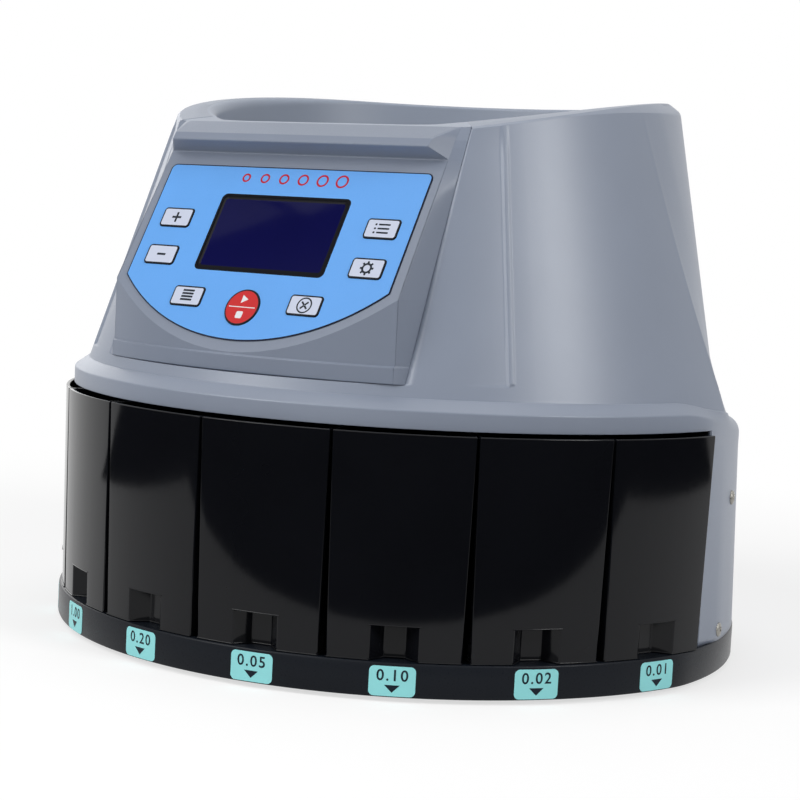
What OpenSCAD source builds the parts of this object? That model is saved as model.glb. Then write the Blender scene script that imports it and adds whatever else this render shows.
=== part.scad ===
// Coin sorter: a round hopper over a turning carrier wheel, eight pull-out coin boxes below
// and a sloping control panel in front. Lengths are in millimetres, angles in degrees.
// +Z is up and the front faces -Y. The origin lies on the plane where the feet stand,
// under the middle of the outline. Modules draw about the sorter axis, with z = 0 at the
// plinth's underside, and place() moves them to the origin.

/* [Plinth] */
// Radius of the plinth's front edge about the sorter axis
front_r = 182; // [179:0.5:186]
// How much smaller the radius of the rear sides is than the front's
side_set = 4.5; // [2:0.5:7]
// How far the centre of the rear sides lies in front of the sorter axis
side_shift = 26.5; // [24:0.5:30]
// How much nearer to the sorter axis the flat back is than the front edge
back_set = 34; // [32:0.5:37]
// Height of the plinth
base_h = 15.6; // [13:0.2:18]
// Height of the rubber feet
foot_h = 2; // [1:0.5:5]
// Radius of a rubber foot
foot_r = 9; // [6:0.5:12]
// Distance of the feet's middles in from the front edge's radius
foot_in = 44; // [37:1:60]

/* [Housing] */
// Thickness of the moulded walls
wall = 2.5; // [2:0.1:3]
// Step from the plinth's edge in to the housing wall
wall_step = 1.6; // [1:0.1:2.5]
// How far the lip above the coin boxes lies behind their fronts
lip_set = 4; // [2:0.5:6]
// Height of the lip's lower edge
lip_z = 117.5; // [116:0.5:119]
// Height of the lip's upright face
lip_h = 8; // [7:0.5:10]
// Width of the sloping shoulder above the lip
shoulder_w = 7.5; // [5:0.5:9]
// Height of the sloping shoulder
shoulder_h = 6; // [5:0.5:8]
// Lean of the hood's front
hood_lean = 17.7; // [17:0.1:18.4]
// Distance from the flat back in to the hood's upright back
hood_set = 27.5; // [24:0.5:28.5]
// Height of the rear rim
hood_top = 272; // [268:0.5:276]
// Distance from the front edge's radius in to the straight front rim
rim_set = 78.5; // [77:0.5:80]
// Height of the straight front rim
rim_front_z = 250; // [248:0.5:251]
// Slope of the rim's sides
rim_rise = 13.2; // [11:0.2:15]
// Radius that blends the sloping rim into the level one
rim_blend_r = 600; // [300:10:700]
// Where the rear deck starts to fall, in front of the sorter axis
deck_start = 50; // [40:1:60]
// Fall of the rear deck
deck_fall = 8; // [5:0.5:10]
// Bevel round the rear deck
deck_bevel = 8; // [5:0.5:10]
// Width of the raised bead on each side of the hood
bead_w = 4; // [3:0.5:8]
// Height of the raised bead
bead_h = 1.2; // [0.8:0.1:2]
// Angle of the bead from the front
bead_angle = 46; // [44:0.5:50]

/* [Control panel] */
// Lean of the panel from the horizontal
panel_tilt = 59.5; // [58:0.1:61]
// Distance from the bezel's foremost point in to the start key
panel_set = 11.4; // [10.5:0.1:12.5]
// Height of the start key
panel_z = 163.6; // [163:0.1:165]
// How far the bezel's upper corners lie behind the front rim
rim_lap = 0.8; // [0.4:0.1:1.2]
// Slope of the bezel's side walls at the panel's top
panel_in_top = 5; // [3.5:0.1:5.5]
// Slope of the bezel's side walls at the panel's bottom
panel_in_low = 2.9; // [1.5:0.1:3.5]
// Distance from the lip in to the bezel's foremost point
bezel_set = 11.7; // [10.5:0.1:12.5]
// Radius of the bezel's curved lower faces
bezel_r = 200; // [190:1:215]
// Height of the bezel's lower edge
bezel_z = 135.7; // [134:0.5:137]
// Height of the skirt band
band_h = 7.8; // [5:0.2:9]
// How far the skirt band stands out
band_step = 1; // [0.5:0.1:2]
// Distance up the panel to the brow
brow_u = 82.8; // [81:0.1:84]
// How far the brow stands out from the panel
brow_out = 9.8; // [8:0.2:12]
// Radius of the brow's rounded nose
brow_r = 2.6; // [2:0.2:3.2]
// Height of the brow up the panel
brow_rise = 5.7; // [5:0.1:7]
// Distance from the bezel's sides in to the blue overlay
overlay_in = 9; // [8:0.5:10.5]
// Top of the overlay, up the panel
overlay_top = 75; // [73:0.5:77]
// Where the overlay's straight sides end, up the panel
overlay_side = 12.8; // [10:0.2:16]
// Lowest point of the overlay's curved edge
overlay_low = -16.9; // [-18:0.1:-15]
// Thickness of the overlay
overlay_t = 0.5; // [0.3:0.1:0.8]
// Width of the display opening
display_w = 71.6; // [66:0.1:73]
// Height of the display opening
display_h = 39.2; // [34:0.1:40]
// Middle of the display, up the panel
display_u = 38.8; // [38:0.1:40]

/* [Keys] */
// Width of a key
key_w = 17.8; // [16:0.1:20]
// Height of a key
key_h = 10.4; // [9:0.1:12]
// Corner radius of a key
key_corner = 1.8; // [1:0.1:3]
// Diameter of the round start key
start_d = 18.6; // [16:0.1:20]
// How far a key stands above the overlay
key_proud = 0.9; // [0.7:0.1:1.5]
// Travel of a key
key_travel = 0.6; // [0.3:0.1:0.7]
// Clearance round a key
key_gap = 0.25; // [0.2:0.05:0.4]
// Width of the flange that holds a key in
key_flange = 1.2; // [0.8:0.1:1.6]

/* [Coin boxes] */
// Angle between neighbouring coin boxes
box_pitch = 20.25; // [19.5:0.05:20.5]
// Distance from the sorter axis to a box's inner end
box_in = 58; // [56:0.5:66]
// Set-back of a box's front at its foot
box_lean = 1.5; // [0:0.25:3]
// Wall thickness of a box
box_wall = 1.8; // [1.4:0.1:2.4]
// Gap between two boxes at their tops
box_gap_top = 1.2; // [0.8:0.1:2]
// Gap between two boxes at their feet
box_gap_low = 4; // [3:0.2:5]
// Clearance under a box
box_floor_gap = 0.3; // [0.2:0.05:0.5]
// Clearance between a box's top and the lip
box_top_gap = 1.7; // [1:0.1:3]
// Width of the finger notch
notch_w = 19.5; // [16:0.5:22]
// Height of the finger notch
notch_h = 15.5; // [12:0.5:20]
// Depth of the finger notch
notch_d = 16; // [12:0.5:20]
// Width of the guide ribs between boxes
rib_w = 2; // [1.5:0.1:2.4]
// Height of the guide ribs
rib_h = 6; // [3:0.5:10]

/* [Sorter] */
// Distance from the front rim in to the hopper's wall at the sorting plate
bowl_set = 6.5; // [5.5:0.5:8.5]
// How much wider the hopper's radius is at the rear rim
bowl_flare = 17; // [13:0.5:17.5]
// Thickness of the hopper wall
bowl_wall = 2.2; // [1.8:0.1:2.4]
// Thickness of the hopper's rim flange
flange_t = 2.5; // [2:0.1:4]
// Thickness of the sorting plate
plate_t = 2.5; // [2:0.1:3]
// Height of the sorting plate's top
plate_z = 123.5; // [122.5:0.1:125]
// How far the sorting plate reaches past the hopper's wall
plate_lap = 9; // [7:0.5:13]
// Coin diameters in the order of the boxes, from +X round the front to -X
coin_d = [16.25, 18.75, 19.75, 21.25, 22.25, 23.25, 24.25, 25.75];
// Clearance of a coin in its gauge notch
coin_gap = 0.8; // [0.4:0.1:1.2]
// Number of pockets in the carrier wheel
pocket_count = 9; // [8:1:10]
// Width of a pocket
pocket_w = 27.5; // [27:0.5:30]
// Thickness of the carrier wheel
carrier_t = 4.5; // [4:0.1:6]
// Running gap of the carrier wheel
carrier_gap = 0.4; // [0.3:0.05:0.6]
// Radius of the centre knob
knob_r = 16; // [12:0.5:20]
// Height of the centre knob
knob_h = 20; // [14:0.5:26]

/* [Drive] */
// Radius of the main shaft
shaft_r = 5; // [4:0.25:6]
// Radial clearance of a running shaft
shaft_gap = 0.05; // [0.02:0.01:0.08]
// Radial clearance of a fixed bore on its shaft
bore_gap = 0.03; // [0.02:0.01:0.05]
// Gear module
gear_m = 1.25; // [1.15:0.05:1.3]
// Teeth of the drive gear
gear_teeth = 60; // [56:4:60]
// Teeth of the motor pinion
pinion_teeth = 16; // [16:4:20]
// Face width of the drive gear
gear_t = 6; // [5:0.5:8]
// Backlash at the pitch circle
gear_backlash = 0.35; // [0.25:0.05:0.5]
// Height of the drive gear's underside
gear_z = 98; // [94:0.5:100]
// Radius of the motor
motor_r = 18.5; // [16:0.5:20]
// Length of the motor
motor_h = 56; // [45:1:60]
// Radius of the motor shaft
motor_shaft_r = 2.5; // [2:0.25:3]

/* [Rear] */
// Width of the power inlet's flange
inlet_w = 31; // [28:0.5:33]
// Height of the power inlet's flange
inlet_h = 24; // [22:0.5:28]
// Middle of the power inlet, along X
inlet_x = -13; // [-15:0.5:-12]
// Width of the switch's flange
switch_w = 15; // [14:0.5:17]
// Height of the switch's flange
switch_h = 21; // [20:0.5:25]
// Middle of the switch, along X
switch_x = 19; // [18:0.5:21]
// Height of the inlet's and the switch's middle
rear_z = 46; // [42:0.5:52]
// Swing of the rocker between its two stops
rocker_swing = 16; // [10:1:20]

/* [Hidden] */
$fn = 96;
far = 400;
side_r = front_r - side_set;
back_y = front_r - back_set;
axis_y = (front_r - back_y) / 2;
foot_orbit = front_r - foot_in;
box_count = len(coin_d);
box_half_angle = box_count * box_pitch / 2;
jamb_angle = box_half_angle + 1.2;
box_z = base_h + box_floor_gap;
box_top = lip_z - box_top_gap;
box_r = front_r;
body_r = side_r - wall_step;
body_back = back_y - wall_step;
hood_z = lip_z + lip_h + shoulder_h;
lip_r = front_r - lip_set;
hood_r = lip_r - shoulder_w;
hood_back = back_y - hood_set;
rim_front = front_r - rim_set;
rim_front_r = hood_r - tan(hood_lean) * (rim_front_z - hood_z);
bezel_half = sqrt(pow(rim_front_r, 2) - pow(rim_front - rim_lap, 2));
panel_half_top = bezel_half - panel_in_top;
panel_half_low = bezel_half - panel_in_low;
overlay_half = bezel_half - overlay_in;
bezel_front = lip_r - bezel_set;
panel_y = bezel_front - panel_set;
bowl_r = rim_front - bowl_set;
bowl_top_r = bowl_r + bowl_flare;
plate_r = bowl_r + plate_lap;
rear_half_angle = atan(sin(hood_lean));
seam_gap = 0.25;
window_y = rim_front - 7;
plate_low = plate_z - plate_t;
carrier_z = plate_z + carrier_gap;
carrier_r = bowl_r - carrier_gap;
pocket_orbit = bowl_r - pocket_w / 2;
gear_r = gear_m * gear_teeth / 2;
pinion_r = gear_m * pinion_teeth / 2;
gear_centres = gear_r + pinion_r;
pinion_t = gear_t + 2;
screw_r = 3.4;
panel_t = wall;
lens_t = 1.5;
lens_gap = 0.05;
film_gap = 0.01;
key_flange_t = 0.7;
key_under = 0.2;
switch_rise = 1.8;
board_t = 1.6;

// Places and outlines

module place() {
    translate([0, axis_y, foot_h]) children();
}

// Panel frame: x across, y up the slope, z out of the panel, with zero at the start key
module on_panel() {
    translate([0, -panel_y, panel_z]) rotate([panel_tilt, 0, 0]) children();
}

// Turns a piece that faces -Y to an angle from the front, towards +X
module at_angle(angle) {
    rotate([0, 0, angle]) children();
}

// Extrudes a side profile, given as (y, z) points, across the object
module across(width) {
    rotate([90, 0, 90]) linear_extrude(height = width, center = true) children();
}

function arc(centre, r, from, to, steps) =
    [for (i = [0:steps]) let (a = from + (to - from) * i / steps) centre + r * [cos(a), sin(a)]];

module rounded_rect(size, r) {
    x = size[0] / 2 - r;
    y = size[1] / 2 - r;
    polygon(concat(arc([x, y], r, 0, 90, 6), arc([-x, y], r, 90, 180, 6), arc([-x, -y], r, 180, 270, 6),
        arc([x, -y], r, 270, 360, 6)));
}

// Wedge in front of two planes that leave the sorter axis
module front_sector(half_angle) {
    polygon([[0, 0], [far * sin(half_angle), -far * cos(half_angle)],
        [far * sin(half_angle), -far], [-far * sin(half_angle), -far],
        [-far * sin(half_angle), -far * cos(half_angle)]]);
}

// Solid between rings of four corners each, in triangles that mirror left to right
module loft(rings) {
    count = len(rings);
    sides = [for (k = [0:count - 2], i = [0:3], half = [0, 1])
        let (a = 4 * k + i, b = 4 * k + (i + 1) % 4, c = b + 4, d = a + 4)
        i == 3 ? (half == 0 ? [a, b, d] : [b, c, d]) : (half == 0 ? [a, b, c] : [a, c, d])];
    polyhedron(points = [for (ring = rings, p = ring) p],
        faces = concat([[3, 2, 1, 0]], sides, [[for (i = [0:3]) 4 * (count - 1) + i]]));
}

// Plinth

module plinth_outline(inset) {
    intersection() {
        circle(r = front_r - inset);
        translate([0, -side_shift]) circle(r = side_r - inset);
        translate([-far, -far]) square([2 * far, far + back_y - inset]);
    }
}

lug_w = 14;
lug_t = 4;
lug_h = 10;
lug_gap = 0.6;
bracket_gap = 1.2;
screw_angles = [98, 103.8];
low_screw_z = base_h + 5;
high_screw_z = 82;

// Places on the inside of the housing's side wall: x stands out of the wall
module on_side(angle, z) {
    for (side = [0, 1]) mirror([side, 0, 0])
        translate([0, -side_shift, z]) rotate([0, 0, angle - 90]) translate([body_r, 0, 0]) children();
}

module base_plinth() {
    color([0.06, 0.06, 0.07]) place() {
        difference() {
            linear_extrude(height = base_h) plinth_outline(0);
            for (a = [45, 135, 225, 315]) rotate([0, 0, a]) translate([foot_orbit, 0, -1])
                cylinder(r = foot_r + 0.2, h = 1 + foot_seat);
        }
        for (i = [1:box_count - 1]) at_angle((i - box_count / 2) * box_pitch)
            translate([-rib_w / 2, -(front_r - 16), base_h]) cube([rib_w, front_r - 16 - box_in - 6, rib_h]);
        difference() {
            on_side(screw_angles[0], base_h) translate([-wall - lug_gap - lug_t, -lug_w / 2, 0])
                cube([lug_t, lug_w, lug_h]);
            on_side(screw_angles[0], low_screw_z) rotate([0, -90, 0])
                cylinder(r = screw_r / 2 + 0.1, h = 12);
        }
    }
}

foot_seat = 1;

module rubber_feet() {
    color([0.12, 0.12, 0.12]) place() {
        for (a = [45, 135, 225, 315]) rotate([0, 0, a]) translate([foot_orbit, 0, -foot_h])
            rotate_extrude() polygon([[0, 0], [foot_r - 1.5, 0], [foot_r, 1], [foot_r, foot_h + foot_seat],
                [0, foot_h + foot_seat]]);
    }
}

// Housing

// Front half of the hood, its lip and shoulder, as a solid about the sorter axis
module hood_front(inset) {
    slope = tan(hood_lean);
    skin = inset / cos(hood_lean);
    low = lip_z - 30;
    high = hood_top + 20;
    rotate_extrude() polygon([[0, low], [hood_r - skin, low], [hood_r - skin, hood_z],
        [hood_r - skin - slope * (high - hood_z), high], [0, high]]);
}

// Rear half of the hood: a tilted cone whose rearmost line stands upright
module hood_rear(inset) {
    apex_z = hood_z + (hood_r - inset / cos(hood_lean)) / tan(hood_lean);
    near = (apex_z - hood_top) * 0.8;
    end = apex_z * 1.25;
    translate([0, hood_back - inset, apex_z]) rotate([-rear_half_angle, 0, 0]) translate([0, 0, -end])
        cylinder(r1 = end * tan(rear_half_angle), r2 = near * tan(rear_half_angle), h = end - near);
}

// Everything under the rim line, lowered by a drop
module under_rim(drop) {
    corner_y = -rim_front + (hood_top - rim_front_z) / tan(rim_rise);
    blend_y = corner_y + rim_blend_r * tan(rim_rise / 2);
    reach = far - rim_front;
    translate([0, 0, -drop]) across(2 * far) polygon(concat(
        [[-far, rim_front_z - reach * tan(rim_rise)]],
        arc([blend_y, hood_top - rim_blend_r], rim_blend_r, 90 + rim_rise, 90, 8),
        [[far, hood_top], [far, -50], [-far, -50]]));
}

module hood_solid(inset) {
    intersection() {
        hood_front(inset);
        hood_rear(inset);
    }
}

// Lip, shoulder and the rear walls under the falling deck
module body_solid(inset) {
    low = inset > 0 ? -1 : base_h;
    top = hood_z - inset;
    steep = shoulder_h / shoulder_w;
    peak = top + 2 * steep;
    intersection() {
        rotate_extrude() polygon([[0, low], [lip_r - inset, low], [lip_r - inset, lip_z + lip_h - inset / 2],
            [hood_r - inset - 2, peak], [0, peak]]);
        translate([0, -side_shift, low]) cylinder(r = body_r - inset, h = far);
        translate([-far, -far, low]) cube([2 * far, far + body_back - inset, far]);
        translate([0, -deck_start, top]) rotate([-deck_fall, 0, 0]) {
            intersection() {
                translate([0, deck_start - side_shift, -far])
                    cylinder(r1 = body_r - inset - deck_bevel + far, r2 = body_r - inset - deck_bevel, h = far);
                translate([0, deck_start + body_back - inset - deck_bevel, 0]) rotate([45, 0, 0])
                    translate([-far, -2 * far, -2 * far]) cube([2 * far, 2 * far + 0.01, 4 * far]);
            }
        }
    }
}

module bezel_window() {
    translate([-bezel_half - seam_gap, -far, bezel_z - seam_gap])
        cube([2 * (bezel_half + seam_gap), far - window_y, far]);
}

// Raised bead down each side of the hood, outside the bezel
module hood_beads() {
    slope = tan(hood_lean);
    low = bezel_z + 1;
    high = rim_front_z + 4;
    for (side = [-1, 1]) intersection() {
        rotate_extrude() polygon([[hood_r - slope * (low - hood_z) - 1, low],
            [hood_r - slope * (low - hood_z) + bead_h, low], [hood_r - slope * (high - hood_z) + bead_h, high],
            [hood_r - slope * (high - hood_z) - 1, high]]);
        at_angle(side * bead_angle) translate([-bead_w / 2, -far, 0]) cube([bead_w, far, far]);
        under_rim(flange_t + 0.1);
    }
}

module housing() {
    color([0.54, 0.57, 0.62]) place() {
        difference() {
            union() {
                body_solid(0);
                intersection() {
                    hood_solid(0);
                    under_rim(flange_t);
                }
            }
            body_solid(wall);
            hood_solid(wall);
            translate([0, 0, -1]) linear_extrude(height = lip_z + 1) front_sector(jamb_angle);
            bezel_window();
            rear_cutouts(0.2);
            on_side(screw_angles[0], low_screw_z) rotate([0, -90, 0])
                cylinder(r = screw_r / 2 + 0.2, h = 12, center = true);
            on_side(screw_angles[1], high_screw_z) rotate([0, -90, 0])
                cylinder(r = screw_r / 2 + 0.2, h = 12, center = true);
        }
        hood_beads();
    }
}

module side_screw() {
    rotate([0, 90, 0]) {
        cylinder(r1 = screw_r, r2 = screw_r * 0.72, h = 1.4);
        translate([0, 0, -wall - lug_gap - lug_t]) cylinder(r = screw_r / 2, h = wall + lug_gap + lug_t + 0.1);
    }
}

module side_screws() {
    color([0.75, 0.75, 0.77]) place() {
        on_side(screw_angles[0], low_screw_z) side_screw();
        on_side(screw_angles[1], high_screw_z) side_screw();
    }
}

// Sheet-metal uprights inside the side walls that take the upper screws
module side_brackets() {
    color([0.7, 0.72, 0.74]) place() difference() {
        on_side(screw_angles[1] + 3, base_h) {
            translate([-wall - bracket_gap - 2, -lug_w, 0]) cube([2, 2 * lug_w, high_screw_z - base_h + lug_h]);
            translate([-wall - bracket_gap - 18, -lug_w, 0]) cube([18, 2 * lug_w, 2]);
        }
        on_side(screw_angles[1], high_screw_z) rotate([0, -90, 0]) cylinder(r = screw_r / 2 + 0.1, h = 12);
    }
}

// Control bezel

function panel_point(u, out) = [-panel_y + u * cos(panel_tilt) - out * sin(panel_tilt),
    panel_z + u * sin(panel_tilt) + out * cos(panel_tilt)];

// Side walls of the bezel: a panel face that widens towards the hood, then straight sides
module bezel_sides(inset) {
    top = brow_u + 12;
    low = -42;
    front_low = panel_point(low, 1);
    front_top = panel_point(top, 1);
    rear = -window_y + 4;
    high = rim_front_z + 8;
    half = bezel_half - inset;
    loft([
        [[-panel_half_low + inset, front_low[0], front_low[1]], [panel_half_low - inset, front_low[0], front_low[1]],
            [panel_half_top - inset, front_top[0], front_top[1]],
            [-panel_half_top + inset, front_top[0], front_top[1]]],
        [[-half, seam_y(bezel_z - 12), bezel_z - 12], [half, seam_y(bezel_z - 12), bezel_z - 12],
            [half, seam_y(high), high], [-half, seam_y(high), high]],
        [[-half, rear, bezel_z - 12], [half, rear, bezel_z - 12], [half, rear, high], [-half, rear, high]]]);
}

// Where the hood's surface lies at the bezel's side, by height
function seam_y(z) = -sqrt(pow(hood_r - tan(hood_lean) * (z - hood_z), 2) - pow(bezel_half, 2));

// Where a plane under the panel face lies, by height
function panel_y_at(z, inset) = panel_point(0, -inset)[0] + (z - panel_point(0, -inset)[1]) / tan(panel_tilt);

// Side profile of the bezel without its brow
module bezel_profile() {
    top = panel_z + (brow_u + 6) * sin(panel_tilt);
    across(2 * far) polygon([[-window_y, bezel_z], [panel_y_at(bezel_z, 0), bezel_z], [panel_y_at(top, 0), top],
        [-window_y, top]]);
}

// Side profile of the space inside the bezel, open at the rear and behind its floor
module bezel_space() {
    low = bezel_z + wall;
    top = panel_z + (brow_u + 2) * sin(panel_tilt);
    across(2 * far) polygon([[-window_y + 10, bezel_z - 1], [-floor_y, bezel_z - 1], [-floor_y, low],
        [panel_y_at(low, wall), low], [panel_y_at(top, wall), top], [-window_y + 10, top]]);
}

floor_y = window_y + 24;

// Brow over the panel, mitred at its ends
module bezel_brow() {
    base = panel_point(brow_u, -1);
    nose = panel_point(brow_u + brow_rise - brow_r, brow_out - brow_r);
    rear = -rim_front - seam_gap;
    intersection() {
        across(2 * far) polygon(concat([[rear, rim_front_z], [rear, base[1]], base],
            arc(nose, brow_r, 180 + panel_tilt + 25, 90 + 30, 8)));
        brow_mitre();
        mirror([1, 0, 0]) brow_mitre();
    }
}

module brow_mitre() {
    translate([bezel_half - seam_gap, -rim_front, 0]) rotate([0, 0, -33])
        translate([-2 * far, -far, 0]) cube([2 * far, 2 * far, far]);
}

module key_places() {
    for (p = key_spots) translate([p[0], p[1], 0]) children();
}

key_column = 58.7;
key_upper_u = 44.9;
key_lower_u = 24.4;
key_inner = 33.4;
key_inner_u = 3.5;
key_spots = [[-key_column, key_upper_u], [-key_column, key_lower_u], [-key_inner, key_inner_u],
    [key_inner, key_inner_u], [key_column, key_lower_u], [key_column, key_upper_u]];

module key_holes(depth, up) {
    translate([0, 0, -depth]) {
        key_places() linear_extrude(height = depth + up)
            rounded_rect([key_w + 2 * key_gap, key_h + 2 * key_gap], key_corner + key_gap);
        cylinder(d = start_d + 2 * key_gap, h = depth + up);
    }
}

module display_hole(depth, up, margin) {
    translate([0, display_u, -depth]) linear_extrude(height = depth + up)
        rounded_rect([display_w + 2 * margin, display_h + 2 * margin], 2);
}

boss_r = 3;
board_low = panel_t + key_under + key_flange_t + key_travel + 0.2 + switch_rise;
key_board_half = overlay_half - 5.5;
board_bosses = [for (side = [-1, 1], b = [[key_board_half - 4, (key_upper_u + key_lower_u) / 2], [47, -2], [17, -9]])
    [side * b[0], b[1]]];

// Upright cylinder whose front is the bezel's curved lower face
module bezel_curve(inset, height) {
    translate([0, bezel_r - bezel_front, bezel_z]) cylinder(r = bezel_r - inset, h = height, $fn = 120);
}

// Outside of the bezel: the sloping body over its skirt band, between the side walls
module bezel_body() {
    intersection() {
        union() {
            intersection() {
                bezel_profile();
                bezel_curve(0, far);
                translate([-far, -far, 0]) cube([2 * far, far - rim_front - seam_gap, far]);
            }
            intersection() {
                bezel_curve(-band_step, band_h);
                translate([-far, -far, 0]) cube([2 * far, far - floor_y - 2 * wall, far]);
            }
        }
        bezel_sides(0);
    }
}

module control_bezel() {
    color([0.47, 0.5, 0.55]) place() {
        difference() {
            union() {
                bezel_body();
                bezel_brow();
            }
            intersection() {
                bezel_space();
                bezel_curve(wall, far);
                bezel_sides(wall);
            }
            on_panel() {
                key_holes(panel_t + 1, 1);
                display_hole(panel_t + 1, 1, 0);
            }
        }
        on_panel() for (b = board_bosses) translate([b[0], b[1], -board_low])
            cylinder(r = boss_r, h = board_low - panel_t + 0.5);
    }
}

// Overlay outline: straight sides over one circular arc
module overlay_outline() {
    sag = overlay_side - overlay_low;
    r = (sag * sag + overlay_half * overlay_half) / (2 * sag);
    sweep = asin(overlay_half / r);
    corner = 5;
    polygon(concat(
        arc([overlay_half - corner, overlay_top - corner], corner, 0, 90, 6),
        arc([-overlay_half + corner, overlay_top - corner], corner, 90, 180, 6),
        arc([0, overlay_low + r], r, 270 - sweep, 270 + sweep, 24)));
}

module panel_overlay() {
    color([0.38, 0.65, 0.93]) place() on_panel() translate([0, 0, film_gap]) difference() {
        linear_extrude(height = overlay_t - film_gap) overlay_outline();
        key_holes(1, 2);
        display_hole(1, 2, 0);
    }
}

module display_window() {
    color([0.05, 0.05, 0.25]) place() on_panel() translate([0, 0, -panel_t - lens_gap - lens_t])
        linear_extrude(height = lens_t) translate([0, display_u])
            rounded_rect([display_w + 5, display_h + 5], 3);
}

module display_module() {
    frame = [display_w + 9, display_h + 9];
    face = panel_t + lens_t + 2 * lens_gap;
    color([0.15, 0.16, 0.2]) place() on_panel() translate([0, display_u, 0]) {
        translate([0, 0, -face - 5]) linear_extrude(height = 5) rounded_rect(frame, 1);
        translate([0, 0, -face - 5 - board_t]) linear_extrude(height = board_t)
            rounded_rect([frame[0] + 10, frame[1] + 12], 1);
    }
}

module key_board() {
    color([0.1, 0.35, 0.18]) place() on_panel() translate([0, 0, -board_low - board_t]) difference() {
        linear_extrude(height = board_t) polygon([[-key_board_half, 56], [-key_board_half, 14], [-52, -8], [-22, -13],
            [22, -13], [52, -8], [key_board_half, 14], [key_board_half, 56]]);
        translate([0, display_u + 20, -1]) linear_extrude(height = board_t + 2)
            square([display_w + 11, display_h + 11 + 40], center = true);
    }
}

module key_switches() {
    color([0.1, 0.1, 0.1]) place() on_panel() translate([0, 0, -board_low]) {
        key_places() tact_switch();
        tact_switch();
    }
}

module tact_switch() {
    translate([-3, -3, 0]) cube([6, 6, switch_rise * 0.6]);
    cylinder(r = 1.7, h = switch_rise);
}

// A key: a cap through the panel with a flange behind it
module key_cap(spot) {
    place() on_panel() translate([spot[0], spot[1], -panel_t - key_under - key_flange_t]) {
        linear_extrude(height = key_flange_t)
            rounded_rect([key_w + 2 * key_flange, key_h + 2 * key_flange], key_corner + key_flange);
        linear_extrude(height = key_flange_t + key_under + panel_t + overlay_t + key_proud)
            rounded_rect([key_w, key_h], key_corner);
    }
}

module key_plus() { color([0.89, 0.9, 0.94]) key_cap(key_spots[0]); }
module key_minus() { color([0.89, 0.9, 0.94]) key_cap(key_spots[1]); }
module key_stack() { color([0.89, 0.9, 0.94]) key_cap(key_spots[2]); }
module key_clear() { color([0.89, 0.9, 0.94]) key_cap(key_spots[3]); }
module key_set() { color([0.89, 0.9, 0.94]) key_cap(key_spots[4]); }
module key_list() { color([0.89, 0.9, 0.94]) key_cap(key_spots[5]); }

module key_start() {
    color([0.84, 0.16, 0.16]) place() on_panel() translate([0, 0, -panel_t - key_under - key_flange_t]) {
        cylinder(d = start_d + 2 * key_flange, h = key_flange_t);
        cylinder(d = start_d, h = key_flange_t + key_under + panel_t + overlay_t + key_proud);
    }
}

// Hopper and sorter

module bowl_cone(grow) {
    height = hood_top - plate_z;
    slope = (bowl_top_r - bowl_r) / height;
    translate([0, 0, plate_z - 1]) cylinder(r1 = bowl_r - slope + grow, r2 = bowl_top_r + slope * 30 + grow,
        h = height + 31);
}

// Space inside the hopper, with its flat front
module bowl_space(grow) {
    intersection() {
        bowl_cone(grow);
        translate([-far, -bowl_r - carrier_gap - grow, 0]) cube([2 * far, 2 * far, far]);
    }
}

module hopper_bowl() {
    color([0.56, 0.59, 0.64]) place() difference() {
        union() {
            intersection() {
                bowl_space(bowl_wall);
                translate([-far, -far, plate_z]) cube([2 * far, 2 * far, far]);
                under_rim(0.5);
            }
            intersection() {
                hood_solid(0);
                under_rim(0);
                difference() {
                    translate([-far, -rim_front, 0]) cube([2 * far, 2 * far, far]);
                    under_rim(flange_t);
                }
            }
        }
        bowl_space(0);
    }
}

// Gauge notch: a coin falls through where the notch is wider than the coin
module gauge_notch(d) {
    translate([0, -bowl_r + d / 2]) circle(d = d);
    translate([-d / 2, -plate_r - 1]) square([d, plate_r + 1 - bowl_r + d / 2]);
}

module sorting_plate() {
    color([0.72, 0.73, 0.75]) place() translate([0, 0, plate_low]) linear_extrude(height = plate_t) difference() {
        circle(r = plate_r);
        circle(r = bushing_r + bore_gap);
        for (i = [0:box_count - 1]) rotate(box_angle(i)) gauge_notch(coin_d[i] + coin_gap);
    }
}

function box_angle(i) = ((box_count - 1) / 2 - i) * box_pitch;

post_r = 4;
post_angles = [95, 130, 165, 195, 230, 265];
post_orbit = plate_r - 2 * post_r;

module plate_posts() {
    color([0.75, 0.76, 0.78]) place() for (a = post_angles) at_angle(a) translate([0, -post_orbit, base_h]) {
        cylinder(r = post_r, h = plate_low - base_h);
        cylinder(r = post_r + 4, h = 2);
    }
}

module coin_sensors() {
    color([0.1, 0.1, 0.1]) place() for (i = [0:box_count - 1]) at_angle(box_angle(i))
        translate([-4, -bowl_r + coin_d[i] + coin_gap + 1, plate_low - sensor_h]) cube([8, 6, sensor_h]);
}

sensor_h = 3.2;

module carrier_wheel() {
    color([0.09, 0.09, 0.1]) place() translate([0, 0, carrier_z]) difference() {
        union() {
            linear_extrude(height = carrier_t) difference() {
                circle(r = carrier_r);
                for (i = [0:pocket_count - 1]) rotate(i * 360 / pocket_count) {
                    translate([0, -pocket_orbit]) circle(d = pocket_w);
                    translate([-pocket_w / 2, -bowl_r - 5]) square([pocket_w, bowl_r + 5 - pocket_orbit]);
                }
            }
            translate([0, 0, carrier_t]) cylinder(r1 = pocket_orbit - pocket_w / 2 - 4, r2 = knob_r, h = hub_rise);
        }
        translate([0, 0, -1]) cylinder(r = shaft_r + bore_gap, h = carrier_t + hub_rise + 2);
    }
}

hub_rise = 14;
hub_top = carrier_z + carrier_t + hub_rise;

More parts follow.
